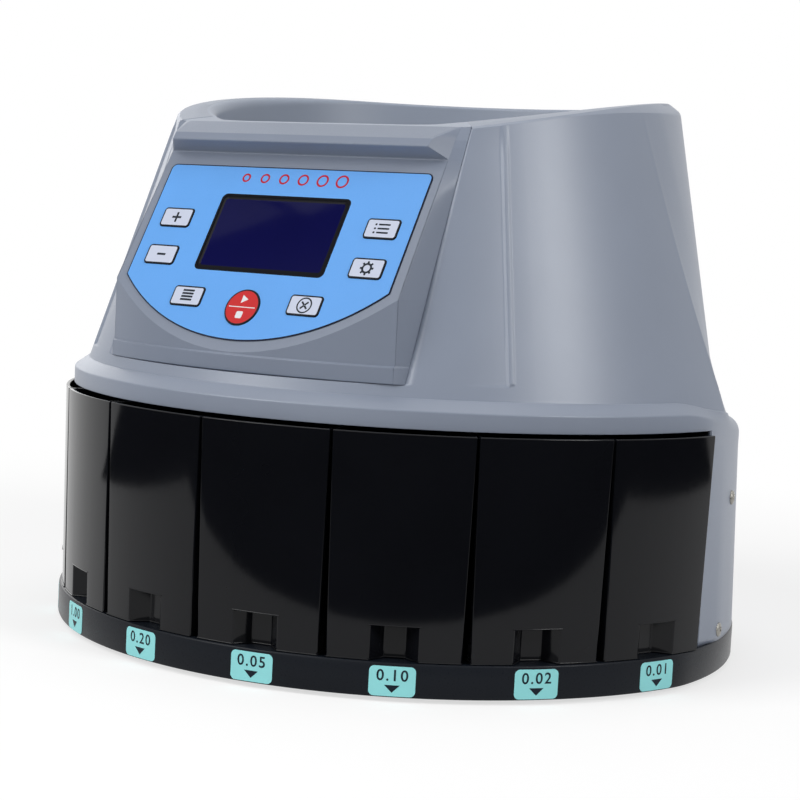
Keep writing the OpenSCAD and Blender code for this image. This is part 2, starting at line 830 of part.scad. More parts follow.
module center_knob() {
    color([0.09, 0.09, 0.1]) place() translate([0, 0, hub_top]) difference() {
        rotate_extrude() polygon(concat([[0, 0], [knob_r, 0], [knob_r, 3], [knob_r - 3, knob_h * 0.45]],
            arc([knob_r - 4, knob_h - 4], 4, 0, 90, 6), [[0, knob_h]]));
        translate([0, 0, -1]) cylinder(r = shaft_r + bore_gap, h = knob_h - 5);
    }
}

// Shaft, bearings and drive

lower_bush_top = gear_z - 1;
bushing_r = shaft_r + 4;
bushing_h = 14;

module main_shaft() {
    color([0.78, 0.78, 0.8]) place() translate([0, 0, lower_bush_top - bushing_h + 2])
        cylinder(r = shaft_r, h = hub_top + knob_h - 8 - (lower_bush_top - bushing_h + 2));
}

module bushing(flange_up) {
    difference() {
        union() {
            cylinder(r = bushing_r, h = bushing_h);
            translate([0, 0, flange_up]) cylinder(r = bushing_r + 4, h = 2);
        }
        translate([0, 0, -1]) cylinder(r = shaft_r + shaft_gap, h = bushing_h + 2);
    }
}

// Flanged bush hung in the sorting plate
module upper_bushing() {
    color([0.72, 0.55, 0.3]) place() translate([0, 0, plate_z - 0.1 - bushing_h])
        bushing(bushing_h - plate_t - 2 + 0.1);
}

module lower_bushing() {
    color([0.72, 0.55, 0.3]) place() translate([0, 0, lower_bush_top - bushing_h]) bushing(bushing_h - 2);
}

module center_pedestal() {
    top = lower_bush_top - 2;
    color([0.1, 0.1, 0.11]) place() difference() {
        union() {
            translate([0, 0, base_h]) cylinder(r = bushing_r + 5, h = top - base_h);
            translate([0, 0, base_h]) cylinder(r1 = bushing_r + 14, r2 = bushing_r + 5, h = 16);
        }
        translate([0, 0, top - bushing_h]) cylinder(r = bushing_r + bore_gap, h = bushing_h + 1);
    }
}

function involute(angle) = tan(angle) * 180 / PI - angle;

// Half angle of a tooth at radius r
function tooth_half(teeth, pitch_r, base_r, r) = 90 / teeth - gear_backlash / pitch_r * 90 / PI
    + involute(20) - involute(acos(min(1, base_r / r)));

module gear_outline(teeth) {
    pitch_r = gear_m * teeth / 2;
    base_r = pitch_r * cos(20);
    root_r = pitch_r - 1.25 * gear_m;
    tip_r = pitch_r + 0.9 * gear_m;
    radii = [root_r, max(root_r + 0.1, base_r), pitch_r, (pitch_r + tip_r) / 2, tip_r];
    halves = [for (r = radii) tooth_half(teeth, pitch_r, base_r, max(r, base_r))];
    polygon([for (k = [0:teeth - 1], j = [0:9]) let (i = j < 5 ? j : 9 - j, side = j < 5 ? -1 : 1,
        a = 90 + k * 360 / teeth + side * halves[i]) radii[i] * [cos(a), sin(a)]]);
}

module drive_gear() {
    color([0.9, 0.9, 0.86]) place() translate([0, 0, gear_z]) difference() {
        union() {
            linear_extrude(height = gear_t) gear_outline(gear_teeth);
            cylinder(r = shaft_r + 6, h = gear_t + 3);
        }
        translate([0, 0, -1]) cylinder(r = shaft_r + bore_gap, h = gear_t + 5);
        for (a = [0:60:300]) rotate([0, 0, a]) translate([gear_r * 0.58, 0, -1])
            cylinder(r = gear_r * 0.17, h = gear_t + 2);
    }
}

module at_motor() {
    translate([0, gear_centres, 0]) children();
}

bracket_t = 2;
bracket_top = gear_z - 3;
bracket_half = motor_r + 6;

module motor_pinion() {
    color([0.72, 0.55, 0.3]) place() at_motor() translate([0, 0, gear_z - 1]) difference() {
        rotate([0, 0, 180 / pinion_teeth]) linear_extrude(height = pinion_t) gear_outline(pinion_teeth);
        translate([0, 0, -1]) cylinder(r = motor_shaft_r + bore_gap, h = pinion_t + 2);
    }
}

module motor_shaft() {
    color([0.78, 0.78, 0.8]) place() at_motor() translate([0, 0, bracket_top - bracket_t - 10])
        cylinder(r = motor_shaft_r, h = gear_z + pinion_t - (bracket_top - bracket_t - 10));
}

module gear_motor() {
    top = bracket_top - bracket_t;
    color([0.6, 0.61, 0.63]) place() at_motor() difference() {
        union() {
            translate([0, 0, top - 20]) cylinder(r = motor_r, h = 20);
            translate([0, 0, top - motor_h]) cylinder(r = motor_r - 1.5, h = motor_h - 19);
            translate([0, 0, top - 1]) cylinder(r = motor_shaft_r + 3.5, h = bracket_t + 1);
            translate([0, 0, top - motor_h - 3]) cylinder(r = 5, h = 4);
        }
        translate([0, 0, top - 12]) cylinder(r = motor_shaft_r + shaft_gap, h = 20);
    }
}

// Sheet-metal bridge that carries the motor
module motor_bracket() {
    color([0.7, 0.72, 0.74]) place() at_motor() difference() {
        union() {
            translate([-bracket_half, -motor_r + 4, bracket_top - bracket_t])
                cube([2 * bracket_half, 2 * motor_r - 4, bracket_t]);
            for (side = [0, 1]) mirror([side, 0, 0]) {
                translate([bracket_half - bracket_t, -motor_r + 4, base_h])
                    cube([bracket_t, 2 * motor_r - 4, bracket_top - base_h]);
                translate([bracket_half - bracket_t, -motor_r + 4, base_h]) cube([14, 2 * motor_r - 4, bracket_t]);
            }
        }
        cylinder(r = motor_shaft_r + 3.5 + bore_gap, h = far);
    }
}

// Electrics

board_w = 96;
board_h = 66;
board_y = 104;

module main_board() {
    color([0.1, 0.35, 0.18]) place() translate([0, board_y, base_h]) {
        translate([-board_w / 2, 0, 0]) cube([board_w, board_t, board_h]);
        for (x = [-board_w / 2 + 6, board_w / 2 - 6]) translate([x - 4, -10, 0]) cube([8, 10, 2]);
        translate([-34, board_t, 22]) cube([26, 2.4, 26]);
        translate([8, board_t, 40]) cube([14, 5, 14]);
        for (x = [14, 28, 40]) translate([x, board_t, 14]) rotate([-90, 0, 0]) cylinder(r = 5, h = 10);
    }
}

// Transformer on its foot
module power_unit() {
    color([0.25, 0.25, 0.27]) place() translate([64, 27, base_h]) {
        translate([-23, -21, 0]) cube([46, 42, 2]);
        translate([-20, -16, 2]) cube([40, 32, 10]);
        translate([-14, -16, 2]) cube([28, 32, 36]);
        translate([-20, -16, 28]) cube([40, 32, 10]);
        translate([-18, -20, 11]) cube([36, 40, 18]);
    }
}

rear_flange_t = 1.4;

module rear_cutouts(gap) {
    translate([inlet_x, body_back, rear_z]) cube([inlet_w - 4 + gap, 20, inlet_h - 4 + gap], center = true);
    translate([switch_x, body_back, rear_z]) cube([switch_w - 2 + gap, 20, switch_h - 2 + gap], center = true);
}

// Appliance inlet: a flanged socket with three flat pins
module power_inlet() {
    depth = 20;
    socket = [inlet_w - 7, inlet_h - 8];
    color([0.07, 0.07, 0.08]) place() translate([inlet_x, body_back, rear_z]) rotate([90, 0, 180]) {
        difference() {
            union() {
                linear_extrude(height = rear_flange_t) rounded_rect([inlet_w, inlet_h], 2.5);
                translate([0, 0, -depth]) linear_extrude(height = depth + 0.2)
                    square([inlet_w - 4, inlet_h - 4], center = true);
            }
            translate([0, 0, -depth + 3]) linear_extrude(height = depth + 3) polygon([
                [-socket[0] / 2, -socket[1] / 2], [socket[0] / 2, -socket[1] / 2], [socket[0] / 2, socket[1] / 6],
                [socket[0] / 2 - 5, socket[1] / 2], [-socket[0] / 2 + 5, socket[1] / 2],
                [-socket[0] / 2, socket[1] / 6]]);
        }
        for (p = [[-7, -2], [0, 2], [7, -2]]) translate([p[0] - 1, p[1] - 2, -depth + 1]) cube([2, 4, depth - 5]);
    }
}

rocker_h = switch_h - 5;
rocker_w = switch_w - 5;
rocker_pivot = 4;
pivot_r = 1.2;

module at_switch() {
    translate([switch_x, body_back, rear_z]) rotate([90, 0, 180]) children();
}

module switch_frame() {
    depth = 16;
    color([0.07, 0.07, 0.08]) place() at_switch() difference() {
        union() {
            linear_extrude(height = rear_flange_t) rounded_rect([switch_w, switch_h], 1.2);
            translate([0, 0, -depth]) linear_extrude(height = depth + 0.2)
                square([switch_w - 2, switch_h - 2], center = true);
        }
        translate([0, 0, -rocker_pivot - 7]) linear_extrude(height = far)
            square([rocker_w + 0.6, rocker_h + 1], center = true);
        translate([0, 0, -rocker_pivot]) rotate([0, 90, 0])
            cylinder(r = pivot_r + shaft_gap, h = rocker_w + 3, center = true);
    }
}

// Rocker at its lower stop, on two short pivots
module power_rocker() {
    color([0.1, 0.1, 0.1]) place() at_switch() translate([0, 0, -rocker_pivot]) rotate([-rocker_swing / 2, 0, 0]) {
        rotate([90, 0, 90]) linear_extrude(height = rocker_w, center = true) polygon([
            [-rocker_h / 2 + 0.6, rocker_pivot + 0.4], [0, rocker_pivot - 1.2],
            [rocker_h / 2 - 0.6, rocker_pivot + 0.4], [rocker_h / 2 - 0.6, rocker_pivot - 2], [3, -3], [-3, -3],
            [-rocker_h / 2 + 0.6, rocker_pivot - 2]]);
        rotate([0, 90, 0]) cylinder(r = pivot_r, h = rocker_w + 2.4, center = true);
    }
}

// Coin boxes

// Everything on the box's side of a leaning plane between two boxes
module side_limit(inset, lean) {
    rotate([0, 0, box_pitch / 2]) translate([-box_gap_top / 2 - inset, 0, box_top]) rotate([0, lean, 0])
        translate([-2 * far, -2 * far, -far]) cube([2 * far, 4 * far, 2 * far]);
}

module box_solid(inset) {
    lean = atan((box_gap_low - box_gap_top) / 2 / (box_top - box_z));
    foot_r_in = box_r - box_lean - inset;
    low = box_z + inset;
    high = inset > 0 ? box_top + 5 : box_top;
    intersection() {
        translate([0, 0, low]) cylinder(r1 = foot_r_in, r2 = box_r - inset, h = high - low);
        side_limit(inset, lean);
        mirror([1, 0, 0]) side_limit(inset, lean);
        translate([-far, -2 * far, 0]) cube([2 * far, 2 * far - box_in - inset, far]);
    }
}

// Finger pocket at the foot of a box's front, with a round back
module finger_pocket(grow) {
    r = notch_w / 2 + grow;
    back = box_r - notch_d - grow;
    translate([0, 0, box_z - 1]) linear_extrude(height = notch_h + grow + 1) {
        translate([0, -back - r]) circle(r = r);
        translate([-r, -box_r - 5]) square([2 * r, box_r + 5 - back - r]);
    }
}

module coin_box(i) {
    color([0.05, 0.05, 0.06]) place() at_angle(box_angle(i)) difference() {
        box_solid(0);
        difference() {
            box_solid(box_wall);
            finger_pocket(box_wall);
        }
        finger_pocket(0);
    }
}

module coin_box_1() { coin_box(0); }
module coin_box_2() { coin_box(1); }
module coin_box_3() { coin_box(2); }
module coin_box_4() { coin_box(3); }
module coin_box_5() { coin_box(4); }
module coin_box_6() { coin_box(5); }
module coin_box_7() { coin_box(6); }
module coin_box_8() { coin_box(7); }

base_plinth();
rubber_feet();
housing();
side_screws();
side_brackets();
control_bezel();
panel_overlay();
display_window();
display_module();
key_board();
key_switches();
key_plus();
key_minus();
key_stack();
key_start();
key_clear();
key_set();
key_list();
hopper_bowl();
sorting_plate();
plate_posts();
coin_sensors();
carrier_wheel();
center_knob();
main_shaft();
upper_bushing();
lower_bushing();
center_pedestal();
drive_gear();
gear_motor();
motor_shaft();
motor_pinion();
motor_bracket();
main_board();
power_unit();
power_inlet();
switch_frame();
power_rocker();
coin_box_1();
coin_box_2();
coin_box_3();
coin_box_4();
coin_box_5();
coin_box_6();
coin_box_7();
coin_box_8();
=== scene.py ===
import math

import bmesh
import bpy
from mathutils import Matrix, Vector


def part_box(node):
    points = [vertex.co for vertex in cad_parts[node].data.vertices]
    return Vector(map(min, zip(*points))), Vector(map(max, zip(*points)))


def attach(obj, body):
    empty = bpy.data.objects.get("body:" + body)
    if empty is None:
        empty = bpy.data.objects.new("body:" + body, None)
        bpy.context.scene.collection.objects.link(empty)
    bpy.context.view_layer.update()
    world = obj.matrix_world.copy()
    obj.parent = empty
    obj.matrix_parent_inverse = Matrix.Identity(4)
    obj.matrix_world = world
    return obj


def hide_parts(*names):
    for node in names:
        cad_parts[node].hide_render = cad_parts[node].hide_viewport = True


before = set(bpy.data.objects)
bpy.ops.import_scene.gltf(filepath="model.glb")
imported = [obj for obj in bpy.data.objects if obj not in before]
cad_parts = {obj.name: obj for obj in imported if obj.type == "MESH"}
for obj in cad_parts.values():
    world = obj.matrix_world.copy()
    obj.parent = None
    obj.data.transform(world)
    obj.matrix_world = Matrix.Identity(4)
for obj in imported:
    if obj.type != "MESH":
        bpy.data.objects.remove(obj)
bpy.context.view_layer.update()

# Coin sorter with eight coin boxes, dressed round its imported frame.
# Sizes are in millimetres, in the sorter's own frame: its axis is x = y = 0, its front
# looks along -Y, and z = 0 is the plinth's underside. Angles run from the front to the right.

MM = 0.001
knob_low, knob_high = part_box("center_knob")
AXIS_Y = (knob_low[1] + knob_high[1]) / 2 / MM
FOOT_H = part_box("base_plinth")[0][2] / MM

# Plinth and coin boxes
BASE_H = 15.6
FRONT_R = 182.0
SIDE_R = 177.5
SIDE_SHIFT = 26.5
BACK_Y = 148.0
BACK_CORNER = 7.0
ROUND_STEPS = 288
BOX_COUNT = 8
BOX_PITCH = 20.25
BOX_Z = 15.9
BOX_TOP = 115.8
BOX_INNER = 58.0
BOX_WALL = 1.8
BOX_FOOT_R = 180.5
BOX_GAP_TOP = 1.2
BOX_GAP_LOW = 4.0
BOX_STEPS = 5
NOTCH_W = 21.8
NOTCH_H = 15.5
NOTCH_BACK = 9.6
NOTCH_DEEP = 8.0
NOTCH_STEPS = 6
RIB_HALF = 1.0
RIB_H = 6.0
LUG_HALF = 7.0
LUG_BACK = -7.1
LUG_FRONT = -3.1
LUG_H = 10.0
BLOCK_SIDES = ((0, 3, 2, 1), (4, 5, 6, 7), (0, 1, 5, 4), (1, 2, 6, 5), (2, 3, 7, 6), (3, 0, 4, 7))

# Side screws, with their places as an angle on the side wall and a height. The cross in a head fades
# out from the second to the first value of its half width and of its reach.
SHANK_R = 1.7
SHANK_LONG = 7.0
HEAD_R = 3.4
HEAD_EDGE = 0.4
HEAD_LOW = -0.6
CROSS_HALF = (0.65, 0.4)
CROSS_REACH = (2.1, 1.7)
SCREW_ANGLE = 98.0
SCREW_PLACES = ((SCREW_ANGLE, BASE_H + 5.0), (103.8, 82.0))

# Housing
WALL = 2.5
BODY_R = 175.9
BODY_BACK = 146.4
WALL_FOOT = 1.2
WALL_DRAFT = 2.7
LIP_R = 178.0
LIP_Z = 117.5
LIP_BEVEL_IN = 7.2
LIP_BEVEL_H = 4.8
SHOULDER_REACH = 9.0
SHOULDER_H = 8.5
JAMB = 82.2
HOOD_Z = 130.3
HOOD_LOW = 135.45
FINE_TOP = 146.0
HOOD_R = 170.9
HOOD_SLOPE = math.tan(math.radians(17.7))
HOOD_BACK = 120.5
HOOD_TOP = 272.0
RIM_FRONT = 103.5
RIM_FRONT_Z = 250.0
RIM_ANGLE = math.radians(13.2)
RIM_SLOPE = math.tan(RIM_ANGLE)
RIM_BLEND_R = 700.0
RIM_STEEP = 0.85
DECK_START = -50.0
DECK_SLOPE = math.tan(math.radians(7.0))
DECK_BLEND = 30.0
BEAD_ANGLE = 45.1
BEAD_W = 4.0
BEAD_H = 0.4
BEAD_LOW_Z = 136.6
BEAD_EDGE = 0.3
BEAD_LEFT = 1.5
BEAD_RIGHT = 1.3
BEAD_END = 1.2
RECESS = 0.9
RECESS_W = 17.0
CREASE_Z = 150.0
CREASE_H = 115.7
CREASE_START = 87.0
CREASE_LEAN = -8.4
CREASE_BEND = 2.7
CREASE_FADE = 8.0
CREASE_RIDGE = 0.1
SEAM_END = 43.0
BEAD_FIELD = 49.6
REAR_FIELD = 112.0
SEAT_DEEP = 9.0
JOINT_GAP = 0.25

# Sizes that change round the housing: at the front, at the rear, and the angles between which they change
SHOULDER_SHARE = (0.0, 1.0, 76.0, 96.0)
RIM_CHAMFER = (1.0, 6.0, 56.0, 104.0)
RIM_INNER = (5.0, 1.6, 95.0, 130.0)
RIM_SOFT = (0.4, 5.0, 80.0, 112.0)

# Control panel
TILT = math.radians(59.5)
PANEL_Y = 154.9
PANEL_Z = 163.6
BEZEL_HALF = 84.0
HALF_TOP = 79.2
HALF_LOW = 80.3
HALF_LOW_U = 10.0
BEZEL_R = 200.0
BEZEL_FRONT = 166.3
BEZEL_Z = 135.7
BAND_H = 7.8
BAND_STEP = 1.0
BROW_U = 82.8
BROW_OUT = 9.8
BROW_HALF = 73.0
BROW_RISE = 4.9
PANEL_NEAR = 40.0
OVERLAY_HALF = 75.0
OVERLAY_TOP = 75.0
OVERLAY_SIDE = 12.8
OVERLAY_LOW = -16.9
OVERLAY_SAG = OVERLAY_SIDE - OVERLAY_LOW
OVERLAY_R = (OVERLAY_HALF ** 2 + OVERLAY_SAG ** 2) / (2 * OVERLAY_SAG)
OVERLAY_CORNER = 3.2
OVERLAY_T = 0.5
SCREEN_W = 71.6
SCREEN_H = 39.2
SCREEN_U = 38.8
SCREEN_TOP = 0.3
SCREEN_LOW = SCREEN_U - SCREEN_H / 2
SCREEN_HIGH = SCREEN_U + SCREEN_H / 2
KEY_W = 17.8
KEY_H = 10.4
KEY_R = 1.8
KEY_TOP = 1.0
KEY_EDGE = 0.25
KEY_LINE = 0.8
KEY_CROWN = 0.01
KEY_UNDER = 1.6
KEY_GAP = 0.15
KEY_WELL = 1.2
START_D = 18.6
KEY_PLACES = {
    "key_plus": (-58.7, 44.9),
    "key_minus": (-58.7, 24.4),
    "key_stack": (-33.4, 3.5),
    "key_clear": (33.4, 3.5),
    "key_set": (58.7, 24.4),
    "key_list": (58.7, 44.9),
    "key_start": (0.0, 0.0),
}

# Row of rings above the screen
RING_COUNT = 6
RING_PITCH = 11.0
RING_U = 68.6
RING_R = 1.9
RING_GROWTH = 0.22
RING_LINE = 0.95

# Hopper bowl
BOWL_LOW_Z = 123.5
BOWL_LOW_R = 97.0
BOWL_TOP_R = 114.0
BOWL_CHORD = 97.4
BOWL_DROP = 0.12
BOWL_FLANGE = 2.4

# Value labels on the plinth, from the viewer's right to the left
VALUES = ["0.01", "0.02", "0.10", "0.05", "0.20", "1.00", "0.50", "2.00"]
LABEL_W = 20.5
LABEL_H = 13.3
LABEL_Z = 7.4
LABEL_CORNER = 2.3
LABEL_OUT = 0.12
LABEL_SINK = 0.05
PRINT_OUT = 0.2
PRINT_T = 0.05
DIGIT_SIZE = 7.0
DIGIT_UP = 2.4
ARROW = ((-3.4, -1.7), (0.0, -5.0), (3.4, -1.7))


def place(point):
    """A point of the sorter's frame, in millimetres, as a point of the part's frame in metres."""
    return Vector((point[0] * MM, (point[1] + AXIS_Y) * MM, (point[2] + FOOT_H) * MM))


def on_panel(x, u, w=0.0):
    """A point of the control panel: x to the right, u up the slope, w out of it."""
    y = -PANEL_Y + u * math.cos(TILT) - w * math.sin(TILT)
    z = PANEL_Z + u * math.sin(TILT) + w * math.cos(TILT)
    return (x, y, z)


def polar(angle, radius, z):
    """A point at an angle in degrees from the front, at a radius from the axis."""
    turn = math.radians(angle)
    return (radius * math.sin(turn), -radius * math.cos(turn), z)


def clamp(value):
    return min(max(value, 0.0), 1.0)


def soft_min(a, b, width):
    """The lower of two values, blended where they are within a width of each other."""
    near = max(width - abs(a - b), 0.0) / width
    return min(a, b) - near * near * width / 4


def smooth_step(low, high, value):
    """0 at low, 1 at high, with soft ends; low may be the larger one."""
    t = clamp((value - low) / (high - low))
    return t * t * (3 - 2 * t)


def lerp(a, b, t):
    return a + (b - a) * t


def to_rear(front, rear, low, high, angle):
    """A size at an angle, which goes from its front value to its rear one between two angles."""
    return lerp(front, rear, smooth_step(low, high, abs(angle)))


def spread(low, high, count):
    """count + 1 values from low to high."""
    return [lerp(low, high, i / count) for i in range(count + 1)]


# Materials

CLOUD_MM = 38.0
STREAK_MM = 10 / 9


def fill(tree, node, inputs):
    """Links each input of a node to an output, or sets it to a constant."""
    for key, value in inputs.items():
        if isinstance(value, bpy.types.NodeSocket):
            tree.links.new(value, node.inputs[key])
        else:
            node.inputs[key].default_value = value


def add_node(tree, kind, inputs):
    node = tree.nodes.new("ShaderNode" + kind)
    fill(tree, node, inputs)
    return node


def node_material(name):
    """A new material with its node tree and its shader."""
    material = bpy.data.materials.new(name)
    material.use_nodes = True
    return material, material.node_tree, material.node_tree.nodes["Principled BSDF"]


def object_coords(tree):
    return tree.nodes.new("ShaderNodeTexCoord").outputs["Object"]


def linear(channels):
    """A colour given as 0 to 255 screen values, as shader values."""
    values = []
    for channel in channels:
        part = channel / 255
        values.append(part / 12.92 if part <= 0.04045 else ((part + 0.055) / 1.055) ** 2.4)
    return values


def noise(tree, vector, size_mm, detail=2.0):
    """A noise whose grains are about a size in millimetres."""
    inputs = {"Vector": vector, "Scale": 1 / (size_mm * MM), "Detail": detail}
    return add_node(tree, "TexNoise", inputs).outputs["Fac"]


def span(tree, source, low, high):
    """Maps a noise's middle range to values from low to high."""
    inputs = {"Value": source, "From Min": 0.3, "From Max": 0.7, "To Min": low, "To Max": high}
    return add_node(tree, "MapRange", inputs).outputs["Result"]


def tint(tree, source, dark, light, ends=(0.0, 1.0)):
    """Maps a noise to the colours from dark to light."""
    ramp = add_node(tree, "ValToRGB", {"Fac": source})
    for element, colour, end in zip(ramp.color_ramp.elements, (dark, light), ends):
        element.position = end
        element.color = (*colour, 1)
    return ramp.outputs["Color"]


def relief(tree, source, strength, depth_mm):
    """A surface normal with the fine relief of a noise."""
    inputs = {"Height": source, "Strength": strength, "Distance": depth_mm * MM}
    return add_node(tree, "Bump", inputs).outputs["Normal"]


def moulded(name, channels, rough, grain_mm, grain_depth, vary, shine=0.5, metal=0.0):
    """Moulded or cast surface: fine grain, faint colour clouds and uneven gloss."""
    material, tree, shader = node_material(name)
    colour = linear(channels)
    dark = [c * (1 - vary) for c in colour]
    light = [min(c * (1 + vary), 1) for c in colour]
    vector = object_coords(tree)
    clouds = noise(tree, vector, CLOUD_MM, 3.0)
    grain = noise(tree, vector, grain_mm)
    fill(tree, shader, {
        "Base Color": tint(tree, clouds, dark, light, (0.32, 0.68)),
        "Roughness": span(tree, grain, rough * 0.88, rough * 1.12),
        "Normal": relief(tree, grain, 0.5, grain_depth),
        "Metallic": metal,
        "Specular IOR Level": shine,
    })
    return material


def brushed(name, channels, rough, stretch):
    """Turned or rolled metal: long fine streaks across one direction."""
    material, tree, shader = node_material(name)
    colour = linear(channels)
    scale = add_node(tree, "Mapping", {"Vector": object_coords(tree), "Scale": stretch})
    streaks = noise(tree, scale.outputs["Vector"], STREAK_MM, 3.0)
    fill(tree, shader, {
        "Base Color": tint(tree, streaks, [c * 0.86 for c in colour], colour),
        "Roughness": span(tree, streaks, rough * 0.8, rough * 1.25),
        "Normal": relief(tree, streaks, 0.25, 0.02),
        "Metallic": 1.0,
    })
    return material


# Screen colour, roughness, grain size and depth in millimetres, colour change, then shine and metal where set
MOULDED = {
    "base_black": ((20, 24, 31), 0.3, 0.9, 0.02, 0.08, 0.13),
    "box_black": ((16, 17, 21), 0.08, 2.4, 0.004, 0.08, 0.2),
    "rubber": ((30, 30, 30), 0.75, 0.5, 0.05, 0.1),
    "housing_grey": ((135, 144, 161), 0.38, 0.55, 0.035, 0.02, 0.65),
    # painted shade: the bezel is a darker copy of the housing grey, standing in for the shade the hood casts
    # on its sides
    "bezel_grey": ((130, 139, 156), 0.38, 0.55, 0.035, 0.02, 0.35),
    # painted light: the bowl is a lighter copy of the housing grey, to lift the shade inside the hopper
    "bowl_grey_lit": ((152, 161, 177), 0.4, 0.55, 0.035, 0.02),
    "overlay_blue": ((104, 172, 246), 0.3, 0.35, 0.012, 0.02, 0.25),
    # painted shade: the film's edge and the walls of its key openings take this dark paint, standing in for
    # the shadow in the gaps round them
    "overlay_shadow_line": ((22, 30, 52), 0.35, 0.35, 0.012, 0.03, 0.12),
    "window_navy": ((10, 11, 68), 0.1, 3.0, 0.002, 0.06, 0.02),
    "window_black": ((13, 13, 20), 0.2, 0.6, 0.01, 0.06, 0.06),
    "module_black": ((24, 24, 26), 0.45, 0.5, 0.03, 0.08),
    "board_green": ((26, 88, 54), 0.32, 1.4, 0.05, 0.12),
    "switch_black": ((26, 26, 28), 0.38, 0.5, 0.03, 0.08),
    "key_white": ((209, 216, 235), 0.34, 0.4, 0.015, 0.015, 0.2),
    "key_red": ((206, 36, 38), 0.32, 0.4, 0.015, 0.03, 0.2),
    "key_line": ((16, 18, 26), 0.36, 0.4, 0.015, 0.05, 0.1),
    "carrier_black": ((32, 33, 36), 0.36, 0.6, 0.03, 0.08),
    "gear_white": ((222, 221, 212), 0.4, 0.5, 0.02, 0.02),
    "core_iron": ((92, 88, 84), 0.5, 0.7, 0.06, 0.12, 0.5, 0.6),
    "label_teal": ((162, 242, 244), 0.38, 0.4, 0.01, 0.02, 0.3),
    "print_dark": ((20, 30, 42), 0.42, 0.4, 0.008, 0.05, 0.15),
    "print_red": ((188, 30, 50), 0.36, 0.4, 0.008, 0.03, 0.12),
    "print_white": ((238, 238, 240), 0.36, 0.4, 0.008, 0.02, 0.2),
    "card_black": ((8, 8, 9), 0.9, 3.0, 0.05, 0.05, 0.0),
}
# Screen colour, roughness and the stretch of the streaks
BRUSHED = {
    "screw_steel": ((150, 148, 142), 0.3, (1.0, 1.0, 0.2)),
    "shaft_steel": ((190, 190, 193), 0.25, (1.0, 1.0, 0.1)),
    "sheet_steel": ((176, 178, 180), 0.34, (0.08, 1.0, 1.0)),
    "post_aluminium": ((196, 198, 200), 0.3, (1.0, 1.0, 0.1)),
    "bronze": ((172, 128, 72), 0.35, (1.0, 1.0, 0.1)),
    "motor_metal": ((168, 170, 172), 0.36, (1.0, 1.0, 0.1)),
}
PAINT = {name: moulded(name, *finish) for name, finish in MOULDED.items()}
PAINT.update({name: brushed(name, *finish) for name, finish in BRUSHED.items()})


# Mesh helpers

def new_object(name, data):
    made = bpy.data.objects.new(name, data)
    bpy.context.collection.objects.link(made)
    return made


def dress(made, body, nodes):
    """Lets a piece ride on a body, and stand for the frame's nodes, which it hides."""
    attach(made, body)
    if nodes:
        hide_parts(*nodes)


def piece(name, points, faces, paints, body="machine", nodes=(), marks=None, sharp=32.0,
          bevel=None, thick=None, flat=False):
    """A finished mesh: merged, optionally bevelled or thickened, shaded, painted and riding on a body."""
    mesh = bpy.data.meshes.new(name)
    mesh.from_pydata([place(point) for point in points], [], faces)
    for paint in paints:
        mesh.materials.append(PAINT[paint])
    if marks:
        for polygon, mark in zip(mesh.polygons, marks):
            polygon.material_index = mark
    work = bmesh.new()
    work.from_mesh(mesh)
    bmesh.ops.remove_doubles(work, verts=work.verts, dist=1e-6)
    if bevel:
        bevel_edges(work, *bevel)
    work.to_mesh(mesh)
    work.free()
    mesh.shade_smooth()
    mesh.set_sharp_from_angle(angle=math.radians(sharp))
    made = new_object(name, mesh)
    if bevel or flat:
        made.modifiers.new("flat_faces", "WEIGHTED_NORMAL").keep_sharp = True
    if thick:
        shell = made.modifiers.new("wall", "SOLIDIFY")
        shell.thickness = thick * MM
        shell.offset = -1.0
        shell.use_even_offset = True
    dress(made, body, nodes)


def bevel_edges(work, width, least):
    """Rounds every edge that is sharper than an angle, by a width in millimetres."""
    edges = []
    for edge in work.edges:
        if len(edge.link_faces) == 2 and edge.calc_face_angle(0) > math.radians(least):
            edges.append(edge)
    bmesh.ops.bevel(work, geom=edges, offset=width * MM, segments=3, profile=0.5,
                    affect="EDGES", clamp_overlap=True, loop_slide=True)


def grid_faces(rows, columns, closed=False):
    """Quads of a grid of points held row by row."""
    faces = []
    for low in range(0, (rows - 1) * columns, columns):
        high = low + columns
        for j in range(columns if closed else columns - 1):
            k = (j + 1) % columns
            faces.append((low + j, low + k, high + k, high + j))
    return faces


def from_base(faces, base):
    """Faces with their corners counted from a base."""
    return [tuple(base + k for k in face) for face in faces]


def fillet(before, corner, after, radius, count):
    """count + 1 points of an arc that rounds a corner of a flat outline."""
    corner = Vector(corner)
    first = Vector(before) - corner
    second = Vector(after) - corner
    room = min(first.length, second.length) * 0.49
    first.normalize()
    second.normalize()
    half = first.angle(second) / 2
    reach = min(radius / max(math.tan(half), 1e-4), room)
    start = corner + first * reach
    end = corner + second * reach
    return [tuple(start.lerp(corner, t).lerp(corner.lerp(end, t), t)) for t in spread(0.0, 1.0, count)]


def rounded_rect(width, height, radius, count=6):
    """Outline of a rectangle with round corners, counter-clockwise."""
    points = []
    for turn, sx, sy in ((0, 1, 1), (90, -1, 1), (180, -1, -1), (270, 1, -1)):
        for step in range(count + 1):
            angle = math.radians(turn + 90 * step / count)
            x = sx * (width / 2 - radius) + radius * math.cos(angle)
            y = sy * (height / 2 - radius) + radius * math.sin(angle)
            points.append((x, y))
    return points


def circle(radius, count):
    turns = [2 * math.pi * i / count for i in range(count)]
    return [(radius * math.cos(turn), radius * math.sin(turn)) for turn in turns]


def shifted(outline, x, u):
    return [(px + x, pu + u) for px, pu in outline]


def turned(outline, degrees):
    turn = Matrix.Rotation(math.radians(degrees), 2)
    return [tuple(turn @ Vector(point)) for point in outline]


